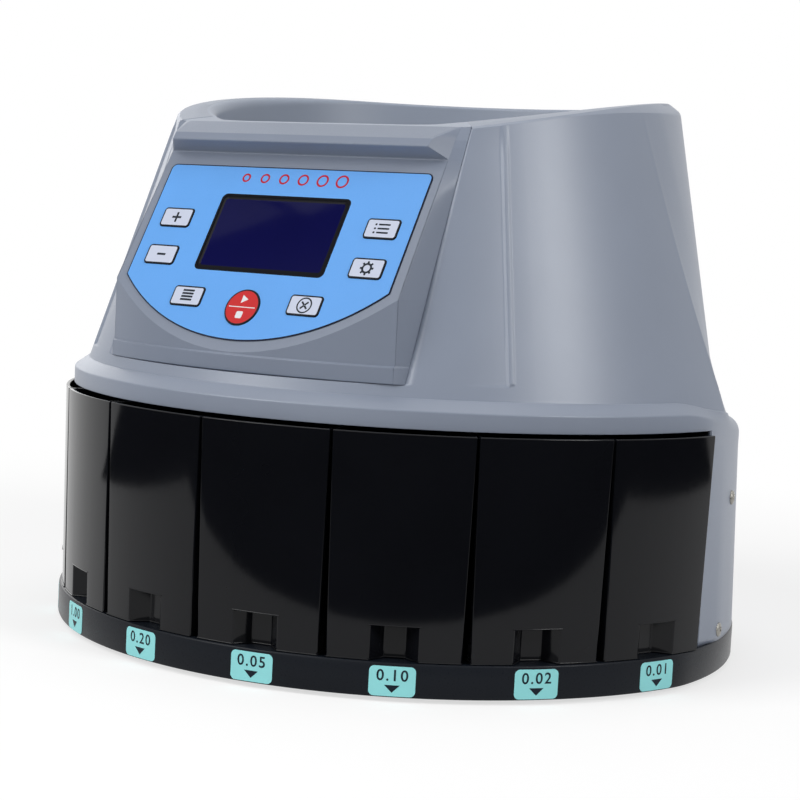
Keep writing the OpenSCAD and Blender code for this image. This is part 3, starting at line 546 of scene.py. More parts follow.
def inset_outline(outline, amount):
    """A closed counter-clockwise outline moved inwards along its own normals."""
    moved = []
    count = len(outline)
    for i in range(count):
        before = Vector(outline[i - 1])
        here = Vector(outline[i])
        after = Vector(outline[(i + 1) % count])
        first = here - before
        second = after - here
        first.normalize()
        second.normalize()
        normal = Vector((-first.y, first.x)) + Vector((-second.y, second.x))
        normal.normalize()
        stretch = max(normal.dot(Vector((-first.y, first.x))), 0.35)
        moved.append(tuple(here + normal * amount / stretch))
    return moved


def radial_frame(angle):
    """A frame on a radius at an angle: across it, out along it, and up."""
    turn = math.radians(angle)

    def at(across, out, z):
        x = across * math.cos(turn) + out * math.sin(turn)
        return (x, across * math.sin(turn) - out * math.cos(turn), z)

    return at


def side_frame(side, angle, z):
    """A frame on the housing's side wall: out of the wall, along it, and up."""
    turn = math.radians(angle - 90.0)

    def at(out, along, up):
        x = (BODY_R + out) * math.cos(turn) - along * math.sin(turn)
        y = (BODY_R + out) * math.sin(turn) + along * math.cos(turn) - SIDE_SHIFT
        return (side * x, y, z + up)

    return at


# Surfaces of the hood and the body

def rear_circle(angle, radius, centre_y):
    """Distance from the axis to a circle about (0, centre_y), at an angle from the front."""
    along = -math.cos(math.radians(angle)) * centre_y
    return along + math.sqrt(max(along * along + radius * radius - centre_y * centre_y, 0.0))


def crease_angle(z):
    """Angle at which the hood's front cone ends and its rear side starts."""
    rise = (z - CREASE_Z) / CREASE_H
    return CREASE_START + CREASE_LEAN * rise + CREASE_BEND * rise * rise


def cone_radius(z):
    """Radius of the hood's front cone."""
    return HOOD_R - HOOD_SLOPE * (z - HOOD_Z)


def hood_radius(angle, z):
    """The front cone up to the crease, then the tilted rear cone, which it meets over a few degrees."""
    front = cone_radius(z)
    crease = crease_angle(z)
    past = abs(angle) - crease
    if past <= 0:
        return front
    step = front - rear_circle(crease, front, HOOD_BACK - front)
    return rear_circle(angle, front, HOOD_BACK - front) + step * max(1 - past / CREASE_FADE, 0.0)


def footprint(angle, front, side, back_y, soft):
    """Radius of a round front that meets round sides and a flat back with round corners."""
    radius = soft_min(front, rear_circle(angle, side, -SIDE_SHIFT), soft)
    back = -math.cos(math.radians(angle))
    if back > 0.05:
        radius = soft_min(radius, back_y / back, BACK_CORNER)
    return radius


def wall_draft(z):
    """How far the side walls stand out at a height, as they lean in towards their top."""
    return WALL_FOOT - WALL_DRAFT * (z - BASE_H) / (BOX_TOP - BASE_H)


def deck_z(y):
    fall = max(0.0, y - DECK_START)
    return HOOD_Z - DECK_SLOPE * fall * smooth_step(0.0, DECK_BLEND, fall)


def rim_z(y):
    """Height of the hopper's rim: rising from the front, then level."""
    run = RIM_BLEND_R * math.sin(RIM_ANGLE)
    drop = RIM_BLEND_R * (1 - math.cos(RIM_ANGLE))
    level_y = -RIM_FRONT + (HOOD_TOP - drop - RIM_FRONT_Z) / RIM_SLOPE + run
    if y >= level_y:
        return HOOD_TOP
    if y >= level_y - run:
        back = level_y - y
        return HOOD_TOP - RIM_BLEND_R + math.sqrt(RIM_BLEND_R ** 2 - back ** 2)
    return RIM_FRONT_Z + RIM_SLOPE * (y + RIM_FRONT)


def rim_at(angle):
    """Radius and height of the hood's top edge at an angle."""
    radius = hood_radius(angle, HOOD_TOP)
    for _ in range(12):
        radius = hood_radius(angle, rim_z(-radius * math.cos(math.radians(angle))))
    return radius, rim_z(-radius * math.cos(math.radians(angle)))


def bowl_inside(angle, z):
    """Radius of the bowl's inner wall."""
    turn = math.cos(math.radians(angle))
    radius = lerp(BOWL_LOW_R, BOWL_TOP_R, (z - BOWL_LOW_Z) / (HOOD_TOP - BOWL_LOW_Z))
    soft = lerp(0.1, 5.0, smooth_step(BOWL_LOW_Z + 6.0, BOWL_LOW_Z + 40.0, z))
    return soft_min(radius, BOWL_CHORD / turn, soft) if turn > 0.1 else radius


def rim_reach(angle):
    """Radius at which the bezel's top edge ends the rim in front."""
    turn = math.cos(math.radians(angle))
    return RIM_FRONT / turn if turn > 0.1 else 1000.0


def rim_parts(angle):
    """The rim at an angle: radius and height, outer chamfer, inner rounding, and the seam with the bowl."""
    radius, top = rim_at(angle)
    inner = bowl_inside(angle, top - 5.0)
    chamfer = min(to_rear(*RIM_CHAMFER, angle), (radius - inner) * 0.5)
    inner_round = min(to_rear(*RIM_INNER, angle), (min(radius, rim_reach(angle)) - inner) * 0.42)
    return radius, top, chamfer, inner_round, inner + inner_round


def bead_lift(angle, z, radius, top):
    """How far the raised rib and the sunk field beside it shift the hood's surface."""
    across = math.radians(BEAD_ANGLE - abs(angle)) * radius
    up = z - BEAD_LOW_Z
    sunk = RECESS * clamp(1 - across / RECESS_W)
    rise = clamp((BEAD_EDGE - across) / BEAD_LEFT)
    fall = clamp((across + BEAD_W) / BEAD_RIGHT)
    cut = clamp((top + across - z) / BEAD_END)
    if rise < 1:
        return lerp(-sunk, BEAD_H * cut, rise) * smooth_step(0.0, 0.8, up)
    return BEAD_H * min(fall, cut) * smooth_step(0.6, 1.6, up)


def seam_angle(z):
    """Angle of the bezel's side seam on the hood."""
    return math.degrees(math.asin((BEZEL_HALF + JOINT_GAP) / cone_radius(z)))


# Housing

def low_profile(angle):
    """Rows of the lip, shoulder and deck at an angle, as radius and height, up to the hood's foot."""
    turn = math.cos(math.radians(angle))
    rear = to_rear(*SHOULDER_SHARE, angle)
    wall = footprint(angle, LIP_R, BODY_R, BODY_BACK, 1.2) + rear * wall_draft(BOX_TOP)
    foot_z = HOOD_Z
    foot = hood_radius(angle, foot_z)
    for _ in range(6):
        foot_z = deck_z(-foot * turn)
        foot = hood_radius(angle, foot_z)
    edge = max(wall - LIP_BEVEL_IN, foot + 0.5)
    edge_z = deck_z(-edge * turn)
    start = (wall, LIP_Z if abs(angle) < JAMB else min(LIP_Z, edge_z - 16))
    low = (wall, edge_z - LIP_BEVEL_H)
    high = (edge, edge_z)
    root = (foot, foot_z)
    up_z = max(foot_z + 3.5, HOOD_LOW - 1.5)
    up = (hood_radius(angle, up_z), up_z)
    front = fillet(start, low, high, 1.2, 6) + fillet(low, high, root, 0.8, 6)
    reach = max(min(wall - foot - 1.2, SHOULDER_REACH), 1.0)
    top_z = deck_z(-(wall - reach) * turn)
    rows = [start, (wall, start[1] + 0.25)]
    for (at, z), part in zip(front, spread(0.0, 90.0, len(front) - 1)):
        round_at = wall - reach * (1 - math.cos(math.radians(part)))
        round_z = top_z - SHOULDER_H * (1 - math.sin(math.radians(part)))
        rows.append((lerp(at, round_at, rear), lerp(z, round_z, rear)))
    rows += fillet(rows[-1], root, up, lerp(0.8, 7.0, rear), 4)
    last_z = rows[-1][1]
    for z in spread(last_z, HOOD_LOW, 4)[1:]:
        rows.append((hood_radius(angle, z), z))
    return rows


def follow_crease(angle, z):
    """Shifts a column's angle so that the column next to the crease runs along it."""
    if angle <= BEAD_FIELD or angle >= REAR_FIELD:
        return angle
    low = crease_angle(HOOD_LOW)
    crease = crease_angle(max(z, HOOD_LOW))
    if angle <= low:
        return lerp(BEAD_FIELD, crease, (angle - BEAD_FIELD) / (low - BEAD_FIELD))
    return lerp(crease, REAR_FIELD, (angle - low) / (REAR_FIELD - low))


def housing_columns():
    """Columns as kind, value and side; those of side 0 lie behind the bezel and end at the hood's foot."""
    crease = crease_angle(HOOD_LOW)
    fixed = spread(SEAM_END, BEAD_FIELD, 66)
    fixed += spread(BEAD_FIELD, JAMB - 0.12, 15)[1:]
    fixed += [JAMB]
    fixed += spread(JAMB + 0.12, crease - 0.3, 5)
    fixed += [crease]
    fixed += spread(crease + 0.3, REAR_FIELD, 20)
    fixed += spread(REAR_FIELD, 180.0, 40)[1:]
    right = [("seam", t) for t in spread(0.0, 1.0, 9)[:-1]] + [("fixed", angle) for angle in fixed]
    start = seam_angle(HOOD_LOW)
    columns = [(kind, value, -1) for kind, value in reversed(right[:-1])]
    columns += [("fixed", angle, 0) for angle in spread(-start, start, 26)[1:-1]]
    columns += [(kind, value, 1) for kind, value in right]
    return columns


def column_angle(column, z):
    """Angle of a column at a height: seam columns lean with the bezel, the others with the crease."""
    kind, value, side = column
    if kind == "seam":
        return side * lerp(seam_angle(max(z, HOOD_LOW)), SEAM_END, value)
    return value if side == 0 else side * follow_crease(value, z)


def hood_points(column):
    """Points of a column from the hood's foot up to the seam with the bowl."""
    ridge = CREASE_RIDGE if column[1] == crease_angle(HOOD_LOW) else 0.0
    angle = column_angle(column, RIM_FRONT_Z)
    for _ in range(6):
        angle = column_angle(column, rim_at(angle)[1])
    rim_r, rim_top, chamfer, _, seam = rim_parts(angle)
    turn = math.cos(math.radians(angle))
    soft = to_rear(*RIM_SOFT, angle)
    foot_z = rim_top - chamfer * RIM_STEEP
    high = foot_z - soft * 0.6
    points = []
    for z in spread(HOOD_LOW, FINE_TOP, 24)[1:] + spread(FINE_TOP, high, 18)[1:]:
        here = column_angle(column, z)
        radius = hood_radius(here, z)
        fade = smooth_step(high - 1.0, high - 4.0, z)
        lift = fade * (bead_lift(here, z, radius, high - 1.5) + ridge)
        points.append(polar(here, radius + lift, z))
    top = rim_r - chamfer
    below = (hood_radius(angle, foot_z - 12.0), foot_z - 12.0)
    foot = (hood_radius(angle, foot_z), foot_z)
    crest = (top, rim_z(-top * turn))
    inside = (seam, rim_z(-seam * turn))
    for radius, z in fillet(below, foot, crest, soft, 5) + fillet(foot, crest, inside, soft, 5):
        points.append(polar(angle, radius, z))
    for radius in (lerp(top, seam, 0.5), lerp(top, seam, 0.97)):
        points.append(polar(angle, radius, rim_z(-radius * turn)))
    points.append(polar(angle, seam, rim_z(-seam * turn) - JOINT_GAP))
    return points


def wall_points(angle):
    """Points of a column from the plinth up to just below the lip, past the jamb alone."""
    if abs(angle) < JAMB - 1e-6:
        return []
    radius, z = low_profile(angle)[0]
    foot = wall_draft(BASE_H) - wall_draft(BOX_TOP)
    foot *= smooth_step(JAMB, JAMB + 8.0, abs(angle))
    return [polar(angle, radius + foot * (1 - t), lerp(BASE_H + 0.05, z, t)) for t in (0.0, 0.03, 0.5)]


def housing():
    columns = housing_columns()
    points = []
    index = {}
    for c, column in enumerate(columns):
        angle = column_angle(column, HOOD_Z)
        profile = low_profile(angle)
        wall = wall_points(column_angle(column, 0))
        line = wall + [polar(angle, radius, z) for radius, z in profile]
        if column[2] == 0:
            line.append(polar(angle, profile[-1][0] - SEAT_DEEP, HOOD_LOW))
        else:
            line += hood_points(column)
        for row, point in enumerate(line, -len(wall)):
            index[(row, c)] = len(points)
            points.append(point)
    faces = []
    for row, c in index:
        k = (c + 1) % len(columns)
        corners = [(row, c), (row, k), (row + 1, k), (row + 1, c)]
        if all(corner in index for corner in corners):
            faces.append([index[corner] for corner in corners])
    piece("housing_shell", points, faces, ["housing_grey"], nodes=("housing",),
          thick=WALL, sharp=38)


housing()


# Control bezel

def half_width(u):
    return lerp(HALF_LOW, HALF_TOP, (u - HALF_LOW_U) / (BROW_U - HALF_LOW_U))


def overlay_low(x):
    """Height on the panel of the overlay's curved lower edge."""
    return OVERLAY_LOW + OVERLAY_R - math.sqrt(OVERLAY_R ** 2 - x ** 2)


def under_overlay(point):
    """True where the panel is covered by the overlay, well inside its edge."""
    x, y, z = point
    up = (y + PANEL_Y) * math.cos(TILT) + (z - PANEL_Z) * math.sin(TILT)
    out = (z - PANEL_Z) * math.cos(TILT) - (y + PANEL_Y) * math.sin(TILT)
    if abs(x) > OVERLAY_HALF - 1.0 or abs(out) > 0.1:
        return False
    return overlay_low(x) + 1.0 < up < OVERLAY_TOP - 1.0


def bezel_line(column):
    """One section of the bezel, from its lower edge up to the rim, with rounded corners."""
    kind, value, side = column

    def x_at(half):
        return side * value if kind == "near" else side * lerp(PANEL_NEAR, half, value)

    x = x_at(HALF_LOW)
    front = BEZEL_R - BEZEL_FRONT - math.sqrt(BEZEL_R ** 2 - x ** 2)
    band = BEZEL_R - BEZEL_FRONT - math.sqrt((BEZEL_R + BAND_STEP) ** 2 - x ** 2)
    edge_u = (front + PANEL_Y) / math.cos(TILT)
    edge = on_panel(x, edge_u)
    band_z = min(BEZEL_Z + BAND_H, edge[2] - 0.5)
    first_u = overlay_low(x) + 1.2 if abs(x) < OVERLAY_HALF - 1.5 else lerp(edge_u, SCREEN_LOW, 0.3)
    # Each corner is a point, the radius that rounds it, and the number of steps of the rounding.
    corners = [((x, band + 5.0, BEZEL_Z), 0, 0), ((x, band, BEZEL_Z), 0.6, 3)]
    corners += [((x, band, band_z - 0.4), 0.6, 3), ((x, front, band_z), 0.4, 2), (edge, 0.7, 4)]
    for u in (first_u, lerp(first_u, SCREEN_LOW, 0.5), SCREEN_LOW, SCREEN_U, SCREEN_HIGH, 66.0, 76.0):
        corners.append((on_panel(x_at(half_width(max(u, HALF_LOW_U))), u), 0, 0))
    corners.append((on_panel(x_at(HALF_TOP), BROW_U), 0.8, 4))
    corners.append((on_panel(x_at(BROW_HALF), BROW_U + 0.4, BROW_OUT), 0.9, 6))
    corners.append((on_panel(x_at(BROW_HALF + 0.6), BROW_U + BROW_RISE, BROW_OUT - 0.6), 0.7, 4))
    corners.append(((x_at(HALF_TOP), -RIM_FRONT - JOINT_GAP, RIM_FRONT_Z), 0, 0))
    line = []
    for i, (corner, radius, count) in enumerate(corners):
        if count:
            line += fillet(corners[i - 1][0], corner, corners[i + 1][0], radius, count)
        else:
            line.append(corner)
    return line


def rounded_end(inner, edge, pillar, seam):
    """Points round the bezel's side: the brow's end, if there is one, then the side face's front edge."""
    if pillar == edge:
        first = [edge] * 4
    else:
        first = [Vector(p) for p in fillet(inner, edge, pillar, 0.7, 3)]
    before = inner if pillar == edge else edge
    if (seam - pillar).length < 0.3:
        return first + [pillar] * 5
    return first + [Vector(p) for p in fillet(before, pillar, seam, 0.6, 4)]


def bezel():
    near = [0.0, 9.0, 18.0, 27.0, SCREEN_W / 2, PANEL_NEAR]
    far = spread(0.0, 1.0, 12)[1:]
    right = [("near", x, 1) for x in near] + [("far", t, 1) for t in far]
    left = [(kind, value, -1) for kind, value, _ in reversed(right[1:])]
    lines = [bezel_line(column) for column in left + right]
    rows = len(lines[0])
    points = []
    for row in range(rows):
        line = [Vector(section[row]) for section in lines]
        ends = []
        for side, edge, inner in ((-1, line[0], line[1]), (1, line[-1], line[-2])):
            z = min(edge.z, RIM_FRONT_Z)
            seam_y = max(-math.sqrt(cone_radius(z) ** 2 - BEZEL_HALF ** 2), edge.y + 0.05)
            seam = Vector((side * BEZEL_HALF, seam_y, edge.z))
            back = Vector((side * BEZEL_HALF, seam_y + 6.0, edge.z))
            up = (edge.z - PANEL_Z) / math.sin(TILT)
            pillar = Vector((side * half_width(up), -PANEL_Y + up * math.cos(TILT), edge.z))
            if pillar.y < edge.y + 0.4:
                pillar = edge
            ends.append(rounded_end(inner, edge, pillar, seam) + [seam, back])
        full = list(reversed(ends[0])) + line[1:-1] + ends[1]
        points += [tuple(point) for point in full]
    faces = []
    for face in grid_faces(rows, len(points) // rows):
        if not all(under_overlay(points[k]) for k in face):
            faces.append(face)
    # the bezel takes the darker grey that stands in for the hood's shade on its sides
    piece("control_bezel_shell", points, faces, ["bezel_grey"],
          nodes=("control_bezel",), sharp=40, flat=True)


bezel()


# Panel overlay, screen and keys

def overlay_outline():
    reach = math.asin(OVERLAY_HALF / OVERLAY_R)
    middle = OVERLAY_LOW + OVERLAY_R
    points = []
    for t in spread(-reach, reach, 48):
        points.append((OVERLAY_R * math.sin(t), middle - OVERLAY_R * math.cos(t)))
    for side, first, last in ((1, 0.0, 90.0), (-1, 90.0, 180.0)):
        for turn in spread(first, last, 6):
            angle = math.radians(turn)
            points.append((side * (OVERLAY_HALF - OVERLAY_CORNER) + OVERLAY_CORNER * math.cos(angle),
                           OVERLAY_TOP - OVERLAY_CORNER + OVERLAY_CORNER * math.sin(angle)))
    return points


def screen_outline(grow, radius):
    """The screen's outline, made larger by an amount, with a corner radius."""
    return shifted(rounded_rect(SCREEN_W + grow, SCREEN_H + grow, radius, 8), 0.0, SCREEN_U)


def key_outline(name):
    if name == "key_start":
        return circle(START_D / 2, 64)
    return shifted(rounded_rect(KEY_W, KEY_H, KEY_R), *KEY_PLACES[name])


def overlay():
    """Film with its edge and key-opening walls dark as painted shade, a black frame round the screen and an
    opening for each key.
    """
    work = bmesh.new()

    def loop(points, level):
        return [work.verts.new(place(on_panel(x, u, level))) for x, u in points]

    def band(first, second, mark):
        for i in range(len(first)):
            k = (i + 1) % len(first)
            face = work.faces.new((first[i], first[k], second[k], second[i]))
            face.material_index = mark

    outline = overlay_outline()
    rings = [loop(outline, 0.02), loop(outline, OVERLAY_T - 0.1)]
    rings += [loop(inset_outline(outline, inset), OVERLAY_T) for inset in (0.12, 0.6)]
    # the edge bands take paint 1, the painted shadow line
    for lower, upper in zip(rings, rings[1:]):
        band(lower, upper, 1)
    hole = screen_outline(0.0, 2.2)
    hole_out = loop(screen_outline(2.4, 3.0), OVERLAY_T)
    hole_top = loop(hole, OVERLAY_T)
    band(hole_out, hole_top, 2)
    band(hole_top, loop(hole, SCREEN_TOP), 2)
    loops = [rings[-1], hole_out]
    for key in KEY_PLACES:
        opening = inset_outline(key_outline(key), -KEY_GAP)
        key_top = loop(opening, OVERLAY_T)
        # the opening's wall takes the painted shadow line too
        band(key_top, loop(opening, -KEY_WELL), 1)
        loops.append(key_top)
    edges = []
    for ring in loops:
        for i in range(len(ring)):
            pair = (ring[i], ring[(i + 1) % len(ring)])
            edges.append(work.edges.get(pair) or work.edges.new(pair))
    bmesh.ops.triangle_fill(work, use_beauty=True, use_dissolve=False, edges=edges,
                            normal=Vector((0, -math.sin(TILT), math.cos(TILT))))
    bmesh.ops.recalc_face_normals(work, faces=work.faces)
    mesh = bpy.data.meshes.new("panel_overlay_film")
    work.to_mesh(mesh)
    work.free()
    for paint in ("overlay_blue", "overlay_shadow_line", "window_black"):
        mesh.materials.append(PAINT[paint])
    mesh.shade_smooth()
    mesh.set_sharp_from_angle(angle=math.radians(30))
    dress(new_object("panel_overlay_film", mesh), "machine", ("panel_overlay",))


overlay()


def ring_mesh(name, rings, paints, marks, body="machine", nodes=()):
    """A piece of nested outlines with equal counts; marks paints each band, then the face in the last one."""
    count = len(rings[0][0])
    points = [on_panel(x, u, level) for outline, level in rings for x, u in outline]
    faces = grid_faces(len(rings), count, closed=True)
    faces.append(tuple(range(len(points) - count, len(points))))
    paint = []
    for mark in marks[:-1]:
        paint += [mark] * count
    piece(name, points, faces, paints, body, nodes, paint + marks[-1:])


def screen():
    outer = screen_outline(1.0, 2.4)
    rings = [(outer, SCREEN_TOP - 0.9), (outer, SCREEN_TOP)]
    rings += [(screen_outline(-2.6, 1.6), SCREEN_TOP), (screen_outline(-3.0, 1.5), SCREEN_TOP - 0.08)]
    ring_mesh("display_glass", rings, ["window_black", "window_navy"], [0, 0, 0, 1],
              nodes=("display_window",))


screen()


def cap(name, top_paint):
    """A key: black outline round a coloured top, with rounded upper edges and sides that reach down."""
    at = key_outline(name)
    side_top = KEY_TOP - KEY_EDGE
    rings = [(at, -KEY_UNDER), (at, side_top)]
    for turn in (30, 60, 90):
        angle = math.radians(turn)
        inset = KEY_EDGE * (1 - math.cos(angle))
        rings.append((inset_outline(at, inset), side_top + KEY_EDGE * math.sin(angle)))
    rings.append((inset_outline(at, KEY_LINE), KEY_TOP))
    rings.append((inset_outline(at, KEY_LINE + 0.6), KEY_TOP + KEY_CROWN))
    ring_mesh(name + "_cap", rings, ["key_line", top_paint], [0, 0, 0, 0, 0, 1, 1], body=name,
              nodes=(name,))


for key in KEY_PLACES:
    cap(key, "key_red" if key == "key_start" else "key_white")


def print_on(name, shapes, body, paint, level):
    """Thin printed shapes on the panel, each a closed outline, as one piece."""
    points = []
    faces = []
    for outline in shapes:
        base = len(points)
        count = len(outline)
        for height in (level, level + PRINT_T):
            points += [on_panel(x, u, height) for x, u in outline]
        faces += from_base(grid_faces(2, count, closed=True), base)
        faces.append(tuple(range(base + count, base + 2 * count)))
    piece(name, points, faces, [paint], body)


def bar(x, u, width, height):
    return shifted(rounded_rect(width, height, min(width, height) * 0.2, 3), x, u)


def ring_parts(x, u, radius, line, count=40):
    """A ring as short four-sided parts."""
    outer = shifted(circle(radius + line / 2, count), x, u)
    inner = shifted(circle(radius - line / 2, count), x, u)
    return [[outer[i], outer[(i + 1) % count], inner[(i + 1) % count], inner[i]] for i in range(count)]


def key_signs():
    """Signs about each key's middle: outlines of plain bars, rings and teeth."""
    arm = rounded_rect(2.3, 0.9, 0.2, 3)
    cross = [turned(shifted(arm, reach, 0.0), angle) for angle in (45, -45) for reach in (-1.35, 1.35)]
    tooth = ((2.6, -0.55), (3.6, -0.45), (3.6, 0.45), (2.6, 0.55))
    teeth = [turned(tooth, 45 * i) for i in range(8)]
    rows = []
    for step in (-2.1, 0.0, 2.1):
        rows += [bar(0.9, step, 6.2, 0.85), bar(-3.6, step, 1.0, 0.95)]
    arrow = ((-1.5, 2.0), (2.0, 4.1), (-1.5, 6.2))
    signs = {
        "plus": [bar(0.0, 0.0, 5.4, 1.1), bar(0.0, 1.65, 1.1, 2.2), bar(0.0, -1.65, 1.1, 2.2)],
        "minus": [bar(0.0, 0.0, 5.0, 1.1)],
        "stack": [bar(0.0, step, 6.6, 1.0) for step in (-2.0, -0.4, 1.2, 2.8)],
        "clear": cross + ring_parts(0.0, 0.0, 3.7, 0.7),
        "set": ring_parts(0.0, 0.0, 2.2, 1.0) + teeth,
        "list": rows,
        "start": [bar(0.0, 0.0, 14.6, 0.45), arrow, bar(0.0, -4.0, 3.6, 3.6)],
    }
    for sign, shapes in signs.items():
        key = "key_" + sign
        paint = "print_white" if sign == "start" else "print_dark"
        placed = [shifted(shape, *KEY_PLACES[key]) for shape in shapes]
        print_on("sign_" + sign, placed, key, paint, KEY_TOP + KEY_CROWN)


def ring_row():
    rings = []
    for i in range(RING_COUNT):
        x = (i - (RING_COUNT - 1) / 2) * RING_PITCH
        rings += ring_parts(x, RING_U, RING_R + RING_GROWTH * i, RING_LINE)
    print_on("panel_coin_row", rings, "machine", "print_red", OVERLAY_T)


key_signs()
ring_row()


# Hopper bowl

def bowl():
    columns = []
    for angle in spread(-180.0, 180.0, ROUND_STEPS)[:-1]:
        turn = math.cos(math.radians(angle))
        radius, _, chamfer, inner_round, seam = rim_parts(angle)
        outer = max(seam + 0.4, radius - chamfer - 0.6)
        if rim_reach(angle) < radius:
            outer = rim_reach(angle) - 0.1
        edge_z = rim_z(-seam * turn) - BOWL_DROP
        outer_z = rim_z(-outer * turn)
        column = [(outer, outer_z - BOWL_FLANGE), (outer, outer_z - BOWL_DROP), (seam, edge_z)]
        for step in range(1, 8):
            swing = math.radians(90 * step / 7)
            drop = inner_round * (1 - math.cos(swing))
            column.append((seam - inner_round * math.sin(swing), edge_z - drop))
        low = edge_z - inner_round
        start = column[-1][0] - bowl_inside(angle, low)
        for t in spread(0.0, 1.0, 16)[1:]:
            z = lerp(low, BOWL_LOW_Z, t)
            column.append((bowl_inside(angle, z) + start * (1 - t), z))
        column.append((bowl_inside(angle, BOWL_LOW_Z) + 2.0, BOWL_LOW_Z))
        columns.append([polar(angle, radius, z) for radius, z in column])
    rows = len(columns[0])
    points = [column[i] for i in range(rows) for column in columns]
    faces = grid_faces(rows, len(columns), closed=True)
    # the bowl takes the lighter grey that stands in for light in the shaded hopper
    piece("hopper_bowl_shell", points, faces, ["bowl_grey_lit"],
          nodes=("hopper_bowl",), sharp=40)


bowl()


# Plinth, side screws and labels

def plinth_ribs():
    """Guides between the boxes, and the lugs behind the lower side screws."""
    points = []
    faces = []

    def block(at, low, high):
        """Adds a box between two corners of a local frame."""
        base = len(points)
        faces.extend(from_base(BLOCK_SIDES, base))
        for z in (low[2], high[2]):
            for x, y in ((low[0], low[1]), (high[0], low[1]), (high[0], high[1]), (low[0], high[1])):
                points.append(at(x, y, z))

    for number in range(1, BOX_COUNT):
        at = radial_frame((number - BOX_COUNT / 2) * BOX_PITCH)
        block(at, (-RIB_HALF, BOX_INNER + 6.0, BASE_H - 0.5), (RIB_HALF, FRONT_R - 16.0, BASE_H + RIB_H))
    for side in (-1, 1):
        at = side_frame(side, SCREW_ANGLE, 0.0)
        block(at, (LUG_BACK, -LUG_HALF, BASE_H - 0.5), (LUG_FRONT, LUG_HALF, BASE_H + LUG_H))
    piece("plinth_ribs", points, faces, ["base_black"], bevel=(0.35, 35.0))


def screws():
    """Side screws: shank, domed head and cross recess."""
    points = []
    faces = []
    count = 48
    rows = [(SHANK_R, -SHANK_LONG), (SHANK_R, HEAD_LOW), (HEAD_R, HEAD_LOW), (HEAD_R, HEAD_EDGE)]
    for radius in spread(HEAD_R - 0.1, 0.15, 18):
        rows.append((radius, HEAD_EDGE + math.sqrt(1 - (radius / HEAD_R) ** 2)))
    sides = grid_faces(len(rows), count, closed=True)
    sides.append(tuple((len(rows) - 1) * count + i for i in range(count)))
    for side in (-1, 1):
        for angle, z in SCREW_PLACES:
            at = side_frame(side, angle, z)
            base = len(points)
            for radius, height in rows:
                for a, b in circle(radius, count):
                    near, far = sorted((abs(a + b) / math.sqrt(2), abs(a - b) / math.sqrt(2)))
                    cut = smooth_step(*CROSS_HALF, near) * smooth_step(*CROSS_REACH, far)
                    if height <= HEAD_EDGE:
                        cut = 0.0
                    points.append(at(height + wall_draft(z) - cut, a, b))
            faces += from_base(sides, base)
    piece("side_screw_heads", points, faces, ["screw_steel"],
          nodes=("side_screws",), sharp=40)


def plinth():
    angles = spread(-180.0, 180.0, ROUND_STEPS)[:-1]
    count = len(angles)
    # Rows from the middle of the underside round the rounded edges to the middle of the top.
    rows = [(150.0, 0.0), (30.0, 0.0), (1.2, 0.0), (0.4, 0.3), (0.0, 1.1)]
    rows += [(0.0, BASE_H - 0.9), (0.12, BASE_H - 0.45), (0.45, BASE_H - 0.12), (0.9, BASE_H)]
    rows += [(inset, BASE_H) for inset in (30.0, 80.0, 150.0)]
    points = []
    for inset, z in rows:
        for angle in angles:
            radius = footprint(angle, FRONT_R, SIDE_R, BACK_Y, 1.0) - inset
            points.append(polar(angle, max(radius, 12.0), z))
    faces = grid_faces(len(rows), count, closed=True)
    faces.append(tuple(reversed(range(count))))
    faces.append(tuple(range(len(points) - count, len(points))))
    piece("plinth_shell", points, faces, ["base_black"], nodes=("base_plinth",), sharp=35)


plinth_ribs()
screws()
plinth()


def wrap(angle, across, z, out):
    """A point on the plinth's front, at an arc length from an angle and a height from the labels' middle."""
    return polar(angle + math.degrees(across / FRONT_R), FRONT_R + out, LABEL_Z + z)


def digits(text):
    """Points and faces of a line of digits, flat and centred."""
    curve = bpy.data.curves.new("digits", "FONT")
    curve.body = text
    curve.size = DIGIT_SIZE
    curve.space_character = 1.2
    curve.offset = 0.08
    curve.align_x = "CENTER"
    curve.align_y = "CENTER"
    curve.resolution_u = 4
    source = new_object("digits", curve)
    bpy.context.view_layer.update()
    flat = bpy.data.meshes.new_from_object(source.evaluated_get(bpy.context.evaluated_depsgraph_get()))
    points = [(vertex.co.x, vertex.co.y) for vertex in flat.vertices]
    faces = [tuple(polygon.vertices) for polygon in flat.polygons]
    bpy.data.objects.remove(source)
    bpy.data.meshes.remove(flat)
    bpy.data.curves.remove(curve)
    return points, faces


def label(number, value, angle):
    """A sticker with round corners, wrapped on the plinth, with its number and arrow as thin print."""
    left = -LABEL_W / 2
    ends = [left + LABEL_CORNER * (1 - math.cos(math.radians(t))) for t in spread(2.0, 90.0, 8)]
    across = ends + spread(left + LABEL_CORNER, -left - LABEL_CORNER, 12)[1:-1] + [-x for x in reversed(ends)]
    points = []
    for x in across:
        past = max(abs(x) - (LABEL_W / 2 - LABEL_CORNER), 0.0)
        half = LABEL_H / 2 - LABEL_CORNER + math.sqrt(max(LABEL_CORNER ** 2 - past ** 2, 0.0))
        for out in (LABEL_OUT, -LABEL_SINK):
            points += [wrap(angle, x, -half, out), wrap(angle, x, half, out)]
    end = len(points) - 4
    faces = [(0, 1, 3, 2), (end, end + 2, end + 3, end + 1)]
    for a in range(0, end, 4):
        b = a + 4
        faces += [(a, b, b + 1, a + 1), (a + 1, b + 1, b + 3, a + 3), (a + 2, b + 2, b, a)]
    piece("value_label_%d" % number, points, faces, ["label_teal"])
    flat, faces = digits(value)
    points = [wrap(angle, x, DIGIT_UP + y, PRINT_OUT) for x, y in flat]
    faces.append(tuple(len(points) + i for i in range(len(ARROW))))
    points += [wrap(angle, x, z, PRINT_OUT) for x, z in ARROW]
    piece("value_print_%d" % number, points, faces, ["print_dark"])


def box_angle(number):
    return ((BOX_COUNT - 1) / 2 - (number - 1)) * BOX_PITCH


for number, value in enumerate(VALUES, 1):
    label(number, value, box_angle(number))


# Coin boxes

